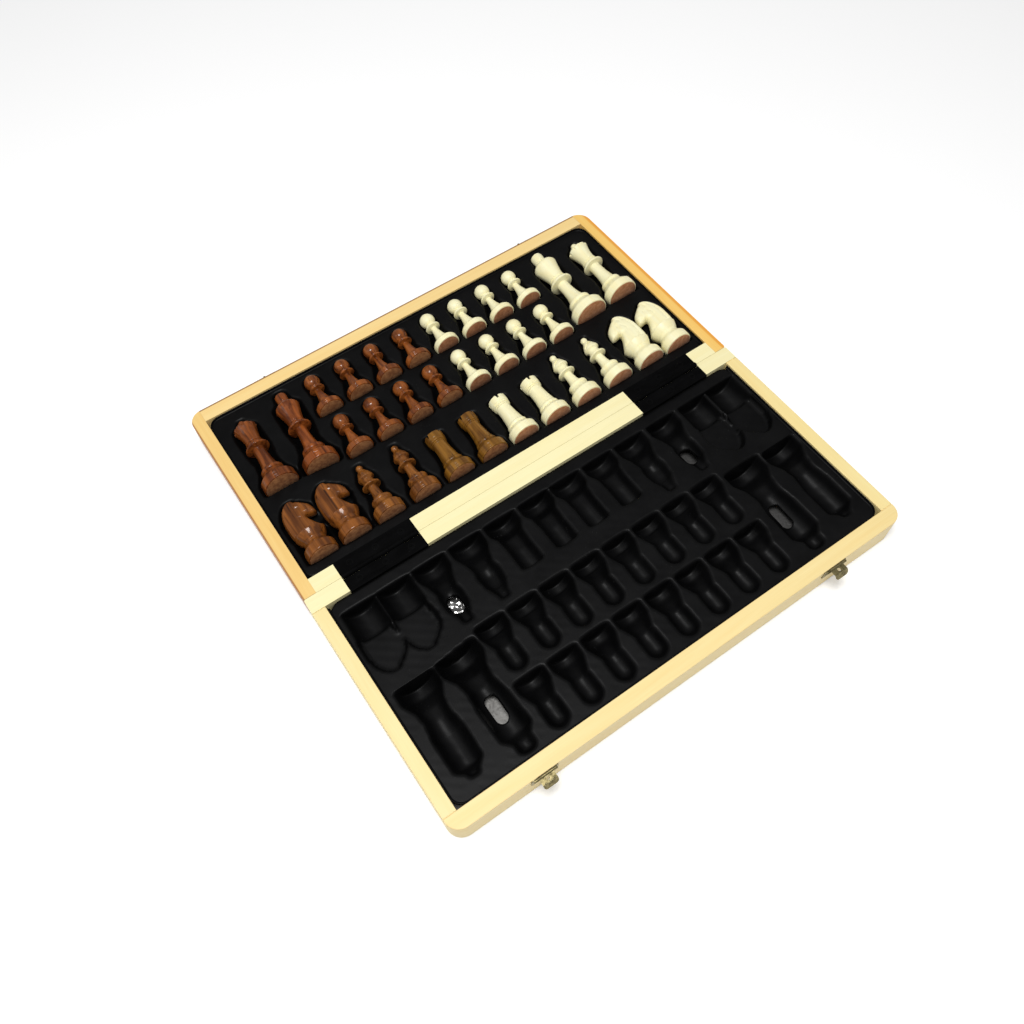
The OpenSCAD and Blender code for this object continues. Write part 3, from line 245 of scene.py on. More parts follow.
def wood(name, light, dark, along, seed, deep=None, gloss=(0.34, 0.5), coat=0.0, coat_rough=0.12,
         figure=170.0, contrast=1.0, bump=0.2, wear=None, fine=0.12, spec=0.5, outer_shade_band=None):
    """Wood with its grain along an axis: growth bands, fibres, flecks, edges worn to another colour, and painted shade
    on an outer face and its edge.
    """
    m = Tree(name, Coat_Weight=coat, Coat_Roughness=coat_rough, Specular_IOR_Level=spec)
    squeeze = [1.0, 1.0, 1.0]
    squeeze["XYZ".index(along)] = 0.07
    move = (seed * 0.371, seed * 0.193, seed * 0.127)
    v = m.place(squeeze, move)
    squeeze["XYZ".index(along)] = 0.018
    w = m.place(squeeze, move)
    bands = m.noise(v, figure, 3.0, 0.55, 0.35)
    fibres = m.noise(w, 1500.0, 4.0, 0.6)
    slow = m.noise(m.place((1, 1, 1), move), 14.0, 2.0)
    grain = m.span(bands, 0.5 - 0.18 / contrast, 0.5 + 0.18 / contrast)
    tone = m.mix(grain, light, dark)
    if deep is not None:
        lines = m.noise(w, figure * 2.2, 2.0, 0.5, 0.5)
        tone = m.mix(m.span(lines, 0.6, 0.74, 0.0, 0.85), tone, deep)
    shade = m.span(m.math("ADD", m.math("MULTIPLY", fibres, 0.7), m.math("MULTIPLY", slow, 0.3)),
                   0.3, 0.7, 1.0 - fine, 1.0 + fine * 0.5)
    tone = m.mix(1.0, tone, m.add("CombineColor", 0, {0: shade, 1: shade, 2: shade}), "MULTIPLY")
    if wear is not None:
        tone = m.mix(m.math("MULTIPLY", m.edge(0.0009), m.span(slow, 0.35, 0.6, 0.2, 0.8)), tone, wear)
    # painted shade: past a band along one axis, the outer face and its rounded edge take a darker shade colour
    if outer_shade_band is not None:
        axis, a, b, stain_and_shade = outer_shade_band
        tone = m.mix(m.span(m.axis(axis), a, b), tone, stain_and_shade)
    rough = m.span(fibres, 0.3, 0.7, *gloss)
    return m.finish(tone, rough, m.bump(fibres, bump, 0.0002))


# Meshes

def soften(profile, size=0.28):
    """The same profile with each corner rounded a little."""
    pts = [Vector(p) for p in profile]
    out = [pts[0]]
    for a, p, b in zip(pts, pts[1:], pts[2:]):
        u, v = a - p, b - p
        if u.length < 1e-6 or v.length < 1e-6:
            continue
        if math.degrees(u.angle(v)) > 158:
            out.append(p)
            continue
        d = min(size, u.length * 0.42, v.length * 0.42)
        s, e = p + u.normalized() * d, p + v.normalized() * d
        out += [s, (s + p * 2 + e) / 4, e]
    out.append(pts[-1])
    return [(p.x, p.y) for p in out]


def smooth_shade(mesh, angle):
    mesh.shade_smooth()
    mesh.set_sharp_from_angle(angle=math.radians(angle))


def new_object(name, verts, faces, mats, sharp=40, slots=None):
    mesh = bpy.data.meshes.new(name)
    mesh.from_pydata(verts, [], faces)
    mesh.validate()
    for m in mats:
        mesh.materials.append(m)
    if slots is not None:
        mesh.polygons.foreach_set("material_index", slots)
    smooth_shade(mesh, sharp)
    obj = bpy.data.objects.new(name, mesh)
    scene.collection.objects.link(obj)
    return obj


def lathe_rings(profile, n, shape=None):
    """Rings of points round the Y axis, and the faces between them."""
    verts, faces, rings = [], [], []
    for r, t in profile:
        if r < 1e-6:
            rings.append([len(verts)])
            verts.append((0.0, t, 0.0))
            continue
        ring = []
        for i in range(n):
            a = 2 * math.pi * i / n
            rr, tt = shape(r, t, a) if shape else (r, t)
            ring.append(len(verts))
            verts.append((rr * math.cos(a), tt, rr * math.sin(a)))
        rings.append(ring)
    for p, q in zip(rings, rings[1:]):
        if len(p) == 1 and len(q) == 1:
            continue
        for i in range(n):
            j = (i + 1) % n
            if len(p) == 1:
                faces.append((p[0], q[i], q[j]))
            elif len(q) == 1:
                faces.append((p[i], q[0], p[j]))
            else:
                faces.append((p[i], q[i], q[j], p[j]))
    return verts, faces


def queen_crown(r, t, a):
    """Nine scallops in the crown's edge."""
    turn = (math.degrees(a) - 90) % 40
    off = min(turn, 40 - turn) / math.degrees(1.25 / 9.4)
    if off < 1 and r > 7.9 and t > 61.5:
        return max(8.0, r - 1.4 * (1 - off ** 4)), t - 0.9 * math.sqrt(1 - off * off) * (r > 8.7)
    return r, t


def rook_gaps(r, t, a, turn=0):
    """Four gaps in the parapet."""
    if r > 5.2 and t > 38.3:
        off = abs((math.degrees(a) - turn) % 90)
        off = min(off, 90 - off)
        if off < math.degrees(1.0 / r):
            return r, 38.2
    return r, t


def rook_gaps_dark(r, t, a):
    return rook_gaps(r, t, a, 45)


def bishop_cut(r, t, a):
    """A slanting saw cut across the mitre."""
    if 36 < t < 47:
        x, z = r * math.cos(a), r * math.sin(a)
        tilt = math.radians(52)
        side = z * 0.85 + x * 0.5
        d = (t - 40.9) * math.sin(tilt) - (side - 1.0) * math.cos(tilt)
        if side > -1.2:
            return r - 1.5 * max(0.0, 1 - (abs(d) / 0.6) ** 3) * min(1.0, (side + 1.2) / 2), t
    return r, t


def hash_of(name):
    return sum((i + 3) * ord(ch) for i, ch in enumerate(name)) % 97 / 97


def felt_disc(r):
    return lathe_rings([(0, 0), (r - 0.15, 0), (r, 0.12), (r, FELT_T), (0, FELT_T)], FELT_SIDES)


def turned(name, profile, base_r, side, x, y, mats, n=72, shape=None, girth=1.0, length=1.0, turn=0.0):
    """One turned piece with its felt disc, in its place in the base."""
    profile = [[r * girth, t if t < 1 else t * length] for r, t in profile]
    verts, faces = lathe_rings(soften(profile, 0.22), n, shape)
    k = len(faces)
    v2, f2 = felt_disc(base_r * girth - FELT_IN)
    off = len(verts)
    verts += v2
    faces += [tuple(i + off for i in f) for f in f2]
    spin = 0.0 if shape else math.radians((hash_of(name) * 360) % 360)
    c, s = math.cos(spin), math.sin(spin)
    ct, st = math.cos(turn), math.sin(turn)
    out = []
    for px, py, pz in verts:
        qx, qz = px * c - pz * s, px * s + pz * c
        qx, qy = qx * ct - py * st, qx * st + py * ct
        out.append(((side * (x + qx)) * MM, (SEAM_Y + y + qy) * MM, (AXIS_Z + qz) * MM))
    if side < 0:
        faces = [tuple(reversed(f)) for f in faces]
    return new_object(name, out, faces, mats, 42, [0] * k + [1] * (len(faces) - k))


# Knights

def chaikin(points, times):
    for _ in range(times):
        out = []
        for (ax, ay), (bx, by) in zip(points, points[1:] + points[:1]):
            out += [(ax * 0.75 + bx * 0.25, ay * 0.75 + by * 0.25), (ax * 0.25 + bx * 0.75, ay * 0.25 + by * 0.75)]
        points = out
    return points


def polygon_distance(px, py, poly):
    """Signed distance to a polygon, positive inside, and the nearest point on it."""
    best = np.full(px.shape, 1e9)
    nx, ny = np.zeros_like(px), np.zeros_like(py)
    inside = np.zeros(px.shape, dtype=bool)
    for (ax, ay), (bx, by) in zip(poly, poly[1:] + poly[:1]):
        dx, dy = bx - ax, by - ay
        u = np.clip(((px - ax) * dx + (py - ay) * dy) / (dx * dx + dy * dy), 0, 1)
        qx, qy = ax + u * dx, ay + u * dy
        d = np.hypot(px - qx, py - qy)
        closer = d < best
        best = np.where(closer, d, best)
        nx, ny = np.where(closer, qx, nx), np.where(closer, qy, ny)
        crosses = ((ay > py) != (by > py)) & (px < dx * (py - ay) / (dy if dy else 1e-9) + ax)
        inside ^= crosses
    return np.where(inside, best, -best), nx, ny


def bump_at(u, h, cu, ch, size, su, sh=None, turn=0.0):
    sh = sh or su
    c, s = math.cos(turn), math.sin(turn)
    a, b = (u - cu) * c + (h - ch) * s, -(u - cu) * s + (h - ch) * c
    return size * np.exp(-(a / su) ** 2 - (b / sh) ** 2)


def line_at(u, h, path, depth, width):
    """A carved line along a path of points."""
    d = np.full(u.shape, 1e9)
    for (ax, ay), (bx, by) in zip(path, path[1:]):
        dx, dy = bx - ax, by - ay
        k = np.clip(((u - ax) * dx + (h - ay) * dy) / (dx * dx + dy * dy), 0, 1)
        d = np.minimum(d, np.hypot(u - ax - k * dx, h - ay - k * dy))
    return -depth * np.exp(-(d / width) ** 2)


def smoothstep(x):
    x = np.clip(x, 0, 1)
    return x * x * (3 - 2 * x)


def head_half(u, h, sd):
    """Half the thickness of the horse's head, with its carving."""
    top = h - PLINTH
    full = 5.7 - 0.9 * smoothstep((top - 16) / 14) - 0.9 * smoothstep((-u - 5) / 7)
    edge = 3.4 - 1.2 * smoothstep((top - 22) / 8)
    out = full * np.sqrt(np.clip(1 - (1 - np.clip(sd / edge, 0, 1)) ** 2, 0, 1)) ** 0.9
    cut = bump_at(u, top, -1.4, 23.6, 0.8, 2.6, 1.0, 0.7) + bump_at(u, top, -2.4, 21.6, -1.2, 1.7, 1.1, 0.6)
    cut += bump_at(u, top, -2.3, 21.6, 1.0, 0.8)
    cut += bump_at(u, top, -10.6, 17.2, -0.9, 0.9, 0.6, 0.5) + bump_at(u, top, -9.6, 18.4, 0.5, 1.6, 1.0, 0.6)
    cut += line_at(u, top, [(-12.9, 14.9), (-10, 15.4), (-7.6, 16.2)], 0.8, 0.45)
    cut += line_at(u, top, [(0.8, 20.5), (3.0, 17.5), (2.6, 14.5), (-0.6, 13.2), (-3.4, 14.6)], 0.5, 0.8)
    cut += line_at(u, top, [(0.2, 30.2), (1.0, 27.6), (2.2, 25.2)], 0.7, 0.7)
    cut += line_at(u, top, [(4.4, 27.4), (7.2, 22), (8.4, 16), (8.4, 9), (7.4, 3)], 0.5, 0.6)
    cut += line_at(u, top, [(-9.5, 2.2), (-4, 1.0), (2, 0.8), (8, 1.6)], 0.45, 0.7)
    fillet = 1.0 * np.clip(1 - top / 1.8, 0, 1) ** 2
    return np.clip(out + np.where(sd > 0.8, cut * smoothstep((sd - 0.6) / 1.6), 0) + fillet * (sd > 0.5), 0, 13)


def knight_mesh():
    """Points and faces of a knight, standing on its own axis: (face to -u, height, thickness)."""
    poly = [(p[0], p[1] + PLINTH) for p in FACE + THROAT + CHEST]
    poly = chaikin(poly, 2)
    step = 0.42
    us = np.arange(-15.2, 15.21, step)
    hs = np.arange(18.8, 54.2, step)
    u, h = np.meshgrid(us, hs, indexing="ij")
    sd, nx, ny = polygon_distance(u, h, poly)
    near = (sd < 0) & (sd > -step * 0.75)
    u2, h2 = np.where(near, nx, u), np.where(near, ny, h)
    sd2 = np.where(near, 0.0, sd)
    half = np.where(sd2 > 0, head_half(u2, h2, sd2), 0.0)
    ok = sd2 >= 0
    verts, index = [], {}
    for side in (1, -1):
        for i in range(len(us)):
            for j in range(len(hs)):
                if ok[i, j]:
                    index[side, i, j] = len(verts)
                    verts.append((u2[i, j], h2[i, j], side * max(half[i, j], 0.12)))
    faces, edges = [], {}
    for i in range(len(us) - 1):
        for j in range(len(hs) - 1):
            q = [(i, j), (i + 1, j), (i + 1, j + 1), (i, j + 1)]
            q = [c for c in q if ok[c]]
            if len(q) < 3:
                continue
            faces.append([index[(1, *c)] for c in q])
            faces.append([index[(-1, *c)] for c in reversed(q)])
            for a, b in zip(q, q[1:] + q[:1]):
                if (b, a) in edges:
                    del edges[b, a]
                else:
                    edges[a, b] = True
    for a, b in edges:
        faces.append([index[(1, *b)], index[(1, *a)], index[(-1, *a)], index[(-1, *b)]])
    v2, f2 = lathe_rings(soften(knight_profile()), 72)
    off = len(verts)
    verts += v2
    faces += [[i + off for i in f] for f in f2]
    mesh = bpy.data.meshes.new("knight_rough")
    mesh.from_pydata(verts, [], faces)
    obj = bpy.data.objects.new("knight_rough", mesh)
    scene.collection.objects.link(obj)
    mod = obj.modifiers.new("remesh", "REMESH")
    mod.mode, mod.voxel_size, mod.adaptivity = "VOXEL", 0.42, 0.0
    mod = obj.modifiers.new("smooth", "CORRECTIVE_SMOOTH")
    mod.factor, mod.iterations, mod.smooth_type = 0.6, 3, "SIMPLE"
    mod.use_only_smooth = True
    done = bpy.data.meshes.new_from_object(obj.evaluated_get(bpy.context.evaluated_depsgraph_get()))
    bpy.data.objects.remove(obj)
    pts = [tuple(v.co) for v in done.vertices]
    polys = [tuple(p.vertices) for p in done.polygons]
    bpy.data.meshes.remove(done)
    return pts, polys


def knight(name, data, side, x, y, mats):
    pts, polys = data
    v2, f2 = felt_disc(KNIGHT_R - FELT_IN)
    off = len(pts)
    allv = list(pts) + v2
    faces = [p for p in polys] + [tuple(i + off for i in f) for f in f2]
    if side < 0:
        faces = [tuple(reversed(f)) for f in faces]
    out = [(side * (x + u) * MM, (SEAM_Y + y + h) * MM, (AXIS_Z + w) * MM) for u, h, w in allv]
    return new_object(name, out, faces, mats, 60, [0] * len(polys) + [1] * len(f2))


# Trays

def rounded_box(px, py, cx, cy, hx, hy, r):
    """Signed distance to a rounded rectangle, negative inside, and the nearest point on its outline."""
    ax, ay = np.abs(px - cx), np.abs(py - cy)
    qx, qy = ax - (hx - r), ay - (hy - r)
    out = np.hypot(np.maximum(qx, 0), np.maximum(qy, 0))
    d = out + np.minimum(np.maximum(qx, qy), 0) - r
    corner = (qx > 0) & (qy > 0)
    k = np.where(out > 1e-9, r / np.maximum(out, 1e-9), 1)
    ex = np.where(corner, hx - r + qx * k, np.where(qx > qy, hx, ax))
    ey = np.where(corner, hy - r + qy * k, np.where(qx > qy, ay, hy))
    sx, sy = np.where(px < cx, -1, 1), np.where(py < cy, -1, 1)
    return d, cx + sx * ex, cy + sy * ey


def places(side):
    """Each piece's kind, place and turn on one side of the box."""
    return ([("pawn", x, y, 0.0) for y in PAWN_Y for x in PAWN_X] + [("rook", x, NEAR_Y, 0.0) for x in ROOK_X] +
            [("bishop", x, NEAR_Y, 0.0) for x in BISHOP_X] + [("knight", x, NEAR_Y, 0.0) for x in KNIGHT_X[side]] +
            [("king", KING_X[side], KING_Y, KING_TURN[side]), ("queen", QUEEN_X[side], QUEEN_Y, 0.0)])


def windows():
    """The windows in the pocket floors, as centre and half length."""
    out = []
    for side in (1, -1):
        turn = KING_TURN[side]
        up, half = KING_WINDOW
        out.append((side * (KING_X[side] - up * math.sin(turn)), KING_Y + up * math.cos(turn), half))
        up, half = BISHOP_WINDOW
        out.append((side * BISHOP_X[1], NEAR_Y + up, half))
    return out


WINDOWS = windows()


def pocket_floor(kind, x0, y0, turn, x, y, gap):
    """Height of a pocket's floor, or the tray's top outside it."""
    prof = POCKETS[kind]
    c, s = math.cos(turn), math.sin(turn)
    dx, t = (x - x0) * c + (y - y0) * s, (y - y0) * c - (x - x0) * s
    end = prof[-1][1]
    r = np.interp(t, [p[1] for p in prof], [p[0] for p in prof]) + gap
    r = np.where((t < -gap) | (t > end + gap), 0, r)
    z = np.where(np.abs(dx) < r, AXIS_Z - np.sqrt(np.maximum(r * r - dx * dx, 0)), TRAY_Z)
    if kind == "knight":
        poly = [(p[0], p[1] + PLINTH) for p in FACE + CHEST]
        sd, _, _ = polygon_distance(dx, t, poly)
        z = np.where(sd > -gap, np.minimum(z, AXIS_Z - HEAD_T / 2 - gap), z)
    return z


def floor_height(x, y, gap):
    z = np.full(x.shape, TRAY_Z)
    for side in (1, -1):
        for kind, x0, y0, turn in places(side):
            near = (np.abs(side * x - x0) < 19) & (y > y0 - 2) & (y < y0 + 84)
            z[near] = np.minimum(z[near], pocket_floor(kind, x0, y0, turn, side * x[near], y[near], gap))
    return z


def soft_noise(x, y, seed):
    """Smooth unevenness of a formed sheet, about -1 to 1."""
    a = np.sin(x * 0.11 + seed) * np.cos(y * 0.13 - seed * 2) + 0.6 * np.sin(x * 0.31 + y * 0.23 + seed * 3)
    return (a + 0.4 * np.sin(x * 0.57 - y * 0.71 + seed * 5)) / 2


def tray(name, sign, mat):
    hw, y0, y1 = INNER_W - TRAY_FIT, HINGE_WALL + TRAY_FIT, INNER_Y - TRAY_FIT
    lines = set(np.round(np.arange(y0, y1, 1.0), 3)) | {round(y1, 3)}
    for start in (NEAR_Y, PAWN_Y[0], PAWN_Y[1], KING_Y, QUEEN_Y):
        lines |= {start - 0.8, start - 0.5}
    lines |= {NEAR_Y + 41.6, NEAR_Y + 41.9}
    ys = [y0]
    for v in sorted(lines):
        if v - ys[-1] > 0.18:
            ys.append(v)
    ys = np.array(ys)
    half = np.concatenate([np.arange(0, hw, 1.0), [hw]])
    if half[-1] - half[-2] < 0.3:
        half = np.delete(half, -2)
    xs = np.concatenate([-half[:0:-1], half])
    x, y = np.meshgrid(xs, ys, indexing="ij")
    z = floor_height(x, y, FIT)
    for _ in range(2):
        p = np.pad(z, 1, mode="edge")
        z = (p[:-2, 1:-1] + 2 * p[1:-1, 1:-1] + p[2:, 1:-1]) / 4
        p = np.pad(z, 1, mode="edge")
        z = (p[1:-1, :-2] + 2 * p[1:-1, 1:-1] + p[1:-1, 2:]) / 4
    z = z + 0.12 * soft_noise(x, y, 1.0 if sign > 0 else 2.2)
    z = np.minimum(z, TRAY_Z + 0.06)
    z = np.minimum(z, floor_height(x, y, 0.45))
    z = np.maximum(z, LINER_Z + 0.85)
    cx, cy = (x[:-1, :-1] + x[1:, 1:]) / 2, (y[:-1, :-1] + y[1:, 1:]) / 2
    mid, deep = (y0 + y1) / 2, (y1 - y0) / 2
    keep = rounded_box(cx, cy, 0, mid, hw, deep, TRAY_CORNER)[0] < 0
    for wx, wy, wl in WINDOWS:
        keep &= rounded_box(cx, cy, wx, wy, WINDOW_W / 2, wl, WINDOW_W / 2)[0] > 0
    n, m = x.shape
    used = np.zeros((n, m), int)
    for a, b in ((0, 0), (1, 0), (0, 1), (1, 1)):
        used[a:n - 1 + a, b:m - 1 + b] += keep
    rim = (used > 0) & (used < 4)
    d, ex, ey = rounded_box(x, y, 0, mid, hw, deep, TRAY_CORNER)
    move = rim & (d > -1.2)
    x, y = np.where(move, ex, x), np.where(move, ey, y)
    z = np.where(move, np.where(y > y0 + 2, TRAY_Z, TRAY_Z - 0.35), z)
    for wx, wy, wl in WINDOWS:
        d, ex, ey = rounded_box(x, y, wx, wy, WINDOW_W / 2, wl, WINDOW_W / 2)
        move = rim & (np.abs(d) < 1.2)
        x, y = np.where(move, ex, x), np.where(move, ey, y)
        z = np.where(move, np.minimum(z, floor_height(x, y, 0.45)), z)
    index = np.full((n, m), -1)
    index[used > 0] = np.arange(int((used > 0).sum()))
    verts = [(px * MM, (SEAM_Y + sign * py) * MM, pz * MM)
             for px, py, pz in zip(x[used > 0], y[used > 0], z[used > 0])]
    faces = []
    for i, j in zip(*np.nonzero(keep)):
        f = (index[i, j], index[i + 1, j], index[i + 1, j + 1], index[i, j + 1])
        faces.append(tuple(int(k) for k in (f if sign > 0 else reversed(f))))
    obj = new_object(name, verts, faces, [mat], 80)
    mod = obj.modifiers.new("thickness", "SOLIDIFY")
    mod.thickness, mod.offset = SKIN * MM, -1
    return obj


def tray_edge(name, sign, mat):
    """The tray's edge, turned up along three of its sides."""
    hw, y0, y1, r = INNER_W - TRAY_FIT, HINGE_WALL + TRAY_FIT + 1.6, INNER_Y - TRAY_FIT, TRAY_CORNER
    path = [(hw, y, 1, 0) for y in np.linspace(y0, y1 - r, 60)]
    for i in range(1, 16):
        a = math.pi / 2 * i / 16
        path.append((hw - r + r * math.cos(a), y1 - r + r * math.sin(a), math.cos(a), math.sin(a)))
    path += [(x, y1, 0, 1) for x in np.linspace(hw - r, 0, 60)]
    path += [(-x, y, -nx, ny) for x, y, nx, ny in path[-2::-1]]
    top = TRAY_Z + LIP
    cross = [(0, TRAY_Z - 0.5), (0, top - 0.25), (0.15, top - 0.05), (0.4, top), (0.62, top - 0.08), (0.75, top - 0.35),
             (0.8, TRAY_Z + 0.7), (1.0, TRAY_Z + 0.25), (1.6, TRAY_Z + 0.05), (1.8, TRAY_Z - 0.5)]
    verts, faces, k = [], [], len(cross)
    for i, (x, y, nx, ny) in enumerate(path):
        wave = 0.05 * math.sin(x * 0.21 + y * 0.17)
        for d, z in cross:
            z += wave * (z > TRAY_Z + 1) - 0.05
            verts.append(((x - nx * d) * MM, (SEAM_Y + sign * (y - ny * d)) * MM, z * MM))
    for i in range(len(path) - 1):
        for j in range(k):
            f = (i * k + j, (i + 1) * k + j, (i + 1) * k + (j + 1) % k, i * k + (j + 1) % k)
            faces.append(f if sign > 0 else tuple(reversed(f)))
    faces.append(tuple(range(k)) if sign > 0 else tuple(range(k))[::-1])
    last = tuple(range((len(path) - 1) * k, len(path) * k))
    faces.append(last[::-1] if sign > 0 else last)
    return new_object(name, verts, faces, [mat], 50)


# Materials

def flock_material():
    """Black flocked sheet: short fibres, lint, a few bright specks that are painted glints, and a soft sheen."""
    m = Tree("black_flock", Sheen_Weight=0.0, Specular_IOR_Level=0.12)
    fibre = m.noise(m.place(), 2600.0, 2.0, 0.6)
    cloud = m.noise(m.place(), 55.0, 3.0, 0.6)
    # painted glints: a few small bright specks in the base colour
    glint_speck = m.span(m.cells(m.place(), 520.0), 0.05, 0.11, 1.0, 0.0)
    rare = m.span(m.noise(m.place((1, 1, 1), (3, 1, 2)), 60.0, 1.0), 0.62, 0.7)
    glint_speck = m.math("MULTIPLY", glint_speck, rare)
    lint = m.span(m.noise(m.place((0.25, 1, 1), (0, 0, 0), (0, 0, 0.9)), 700.0, 2.0, 0.6, 1.5), 0.7, 0.8)
    lint = m.math("MULTIPLY", lint, m.span(m.noise(m.place(), 25.0, 2.0), 0.5, 0.7))
    base = m.mix(m.span(cloud, 0.35, 0.7), (0.0014, 0.0014, 0.0016, 1), (0.003, 0.003, 0.0032, 1))
    base = m.mix(m.math("MULTIPLY", lint, 0.4), base, (0.02, 0.02, 0.021, 1))
    base = m.mix(m.math("MULTIPLY", glint_speck, 0.6), base, (0.09, 0.09, 0.09, 1))
    rough = m.math("ADD", m.span(fibre, 0.3, 0.7, 0.34, 0.5), m.span(cloud, 0.3, 0.7, -0.03, 0.05))
    return m.finish(base, rough, m.bump(fibre, 0.2, 0.00012))


def hinge_material():
    m = Tree("black_hinge", Specular_IOR_Level=0.03)
    fine = m.noise(m.place(), 1900.0, 3.0, 0.65)
    cloud = m.noise(m.place((1, 2.5, 1)), 70.0, 3.0, 0.6)
    lint = m.span(m.noise(m.place((0.2, 1, 1), (0, 0, 0), (0, 0, 0.5)), 520.0, 2.0, 0.6, 1.2), 0.68, 0.78)
    base = m.mix(m.span(cloud, 0.35, 0.7), (0.0012, 0.0012, 0.0013, 1), (0.0026, 0.0026, 0.0028, 1))
    base = m.mix(m.math("MULTIPLY", lint, m.span(cloud, 0.45, 0.6, 0, 0.4)), base, (0.02, 0.02, 0.021, 1))
    base = m.mix(m.math("MULTIPLY", m.edge(0.0005), 0.15), base, (0.02, 0.02, 0.02, 1))
    return m.finish(base, m.span(fine, 0.3, 0.7, 0.6, 0.8), m.bump(fine, 0.3, 0.00012))


def brass_material():
    """Dull, slightly green brass with stains and rubbed edges."""
    m = Tree("dull_brass", Metallic=1.0)
    stain_and_shade = m.noise(m.place(), 420.0, 4.0, 0.65, 0.4)
    fine = m.noise(m.place((1, 1, 3)), 2600.0, 2.0)
    base = m.mix(m.span(stain_and_shade, 0.38, 0.64), rgb(150, 138, 98), rgb(98, 90, 62))
    base = m.mix(m.math("MULTIPLY", m.edge(0.0004), 0.6), base, rgb(200, 190, 150))
    rough = m.math("ADD", m.span(stain_and_shade, 0.3, 0.7, 0.36, 0.55), m.span(fine, 0.3, 0.7, -0.04, 0.06))
    return m.finish(base, rough, m.bump(fine, 0.15, 0.00008))


def liner_material(name, crumple):
    """Thin grey foil-faced sheet, smooth in some places and crumpled in others."""
    m = Tree(name, Specular_IOR_Level=0.5)
    v = m.noise(m.place(), 210.0, 3.0, 0.55, 1.4)
    fold = m.cells(m.place((1, 1, 1), (0.2, 0.1, 0)), 260.0)
    x = m.axis("X")
    foil = m.math("MULTIPLY", m.span(x, -0.116, -0.114), m.span(x, -0.09, -0.092, 0.0, 1.0))
    foil = m.math("MULTIPLY", foil, crumple)
    right = m.span(x, -0.01, 0.01)
    base = m.mix(m.span(v, 0.35, 0.65), rgb(148, 146, 142), rgb(112, 110, 107))
    base = m.mix(right, base, rgb(62, 61, 60))
    base = m.mix(foil, base, rgb(205, 204, 202))
    height = m.math("ADD", v, m.math("MULTIPLY", fold, m.math("MULTIPLY", foil, 2.0)))
    m.put(m.shader.inputs["Metallic"], m.math("MULTIPLY", foil, 0.85))
    return m.finish(base, m.span(foil, 0, 1, 0.55, 0.24), m.bump(height, 0.8, 0.0008))


def felt_material(name, a, b, ring, seed):
    """Felt with a mottled pile, darker along some of its fibres."""
    m = Tree(name, Sheen_Weight=0.1, Sheen_Roughness=0.4, Specular_IOR_Level=0.1)
    fibre = m.noise(m.place(), 2400.0, 3.0, 0.7, 0.6)
    cloud = m.noise(m.place((1, 1, 1), (seed, 0, 0)), 320.0, 3.0, 0.6)
    base = m.mix(m.span(cloud, 0.38, 0.62), a, b)
    base = m.mix(m.span(fibre, 0.4, 0.7, 0, 0.4), base, ring)
    return m.finish(base, m.span(fibre, 0.3, 0.7, 0.8, 0.95), m.bump(fibre, 0.7, 0.0002))


FLOCK, HINGE, BRASS = flock_material(), hinge_material(), brass_material()
FELT_LIGHT = felt_material("felt_light", rgb(196, 142, 104), rgb(172, 116, 78), rgb(140, 88, 56), 1)
FELT_PAWN = felt_material("felt_pawn", rgb(172, 120, 86), rgb(146, 96, 64), rgb(112, 70, 44), 2)
FELT_DARK = felt_material("felt_dark", rgb(160, 110, 70), rgb(126, 80, 48), rgb(88, 54, 30), 3)

# The walls are one pale wood; their tints differ partly as real boards and partly as painted light, the deeper orange
# of the base's far and side walls standing for how brightly they are lit.
WALLS = {
    # The fifth entry paints shade on the wall's outer face and rounded outer edge.
    "base_far_wall": (rgb(255, 226, 158), rgb(250, 212, 138), "X", 3, ("Y", 0.1918, 0.1926, rgb(150, 104, 60))),
    "base_left_wall": (rgb(250, 216, 142), rgb(243, 200, 120), "Y", 5, ("X", -0.1886, -0.1894, rgb(176, 120, 66))),
    "base_right_wall": (rgb(255, 212, 122), rgb(249, 198, 102), "Y", 7, ("X", 0.1868, 0.1882, rgb(238, 166, 66))),
    "base_hinge_wall": (rgb(255, 247, 198), rgb(251, 238, 180), "X", 11, None),
    "lid_hinge_wall": (rgb(255, 247, 198), rgb(251, 238, 180), "X", 13, None),
    "lid_left_wall": (rgb(254, 236, 178), rgb(249, 224, 156), "Y", 17, None),
    "lid_right_wall": (rgb(254, 236, 172), rgb(249, 222, 150), "Y", 19, None),
    "lid_front_wall": (rgb(254, 234, 172), rgb(249, 220, 150), "X", 23, None),
}


def dress(name, mat, bevel=0.0, angle=30, segments=3):
    obj = nodes[name]
    obj.data.materials.clear()
    obj.data.materials.append(mat)
    if bevel:
        weld = obj.modifiers.new("weld", "WELD")
        weld.merge_threshold = 0.00002
        mod = obj.modifiers.new("bevel", "BEVEL")
        mod.width, mod.segments, mod.limit_method = bevel, segments, "ANGLE"
        mod.angle_limit = math.radians(angle)
        mod.use_clamp_overlap = True
        mod.harden_normals = True
    return obj


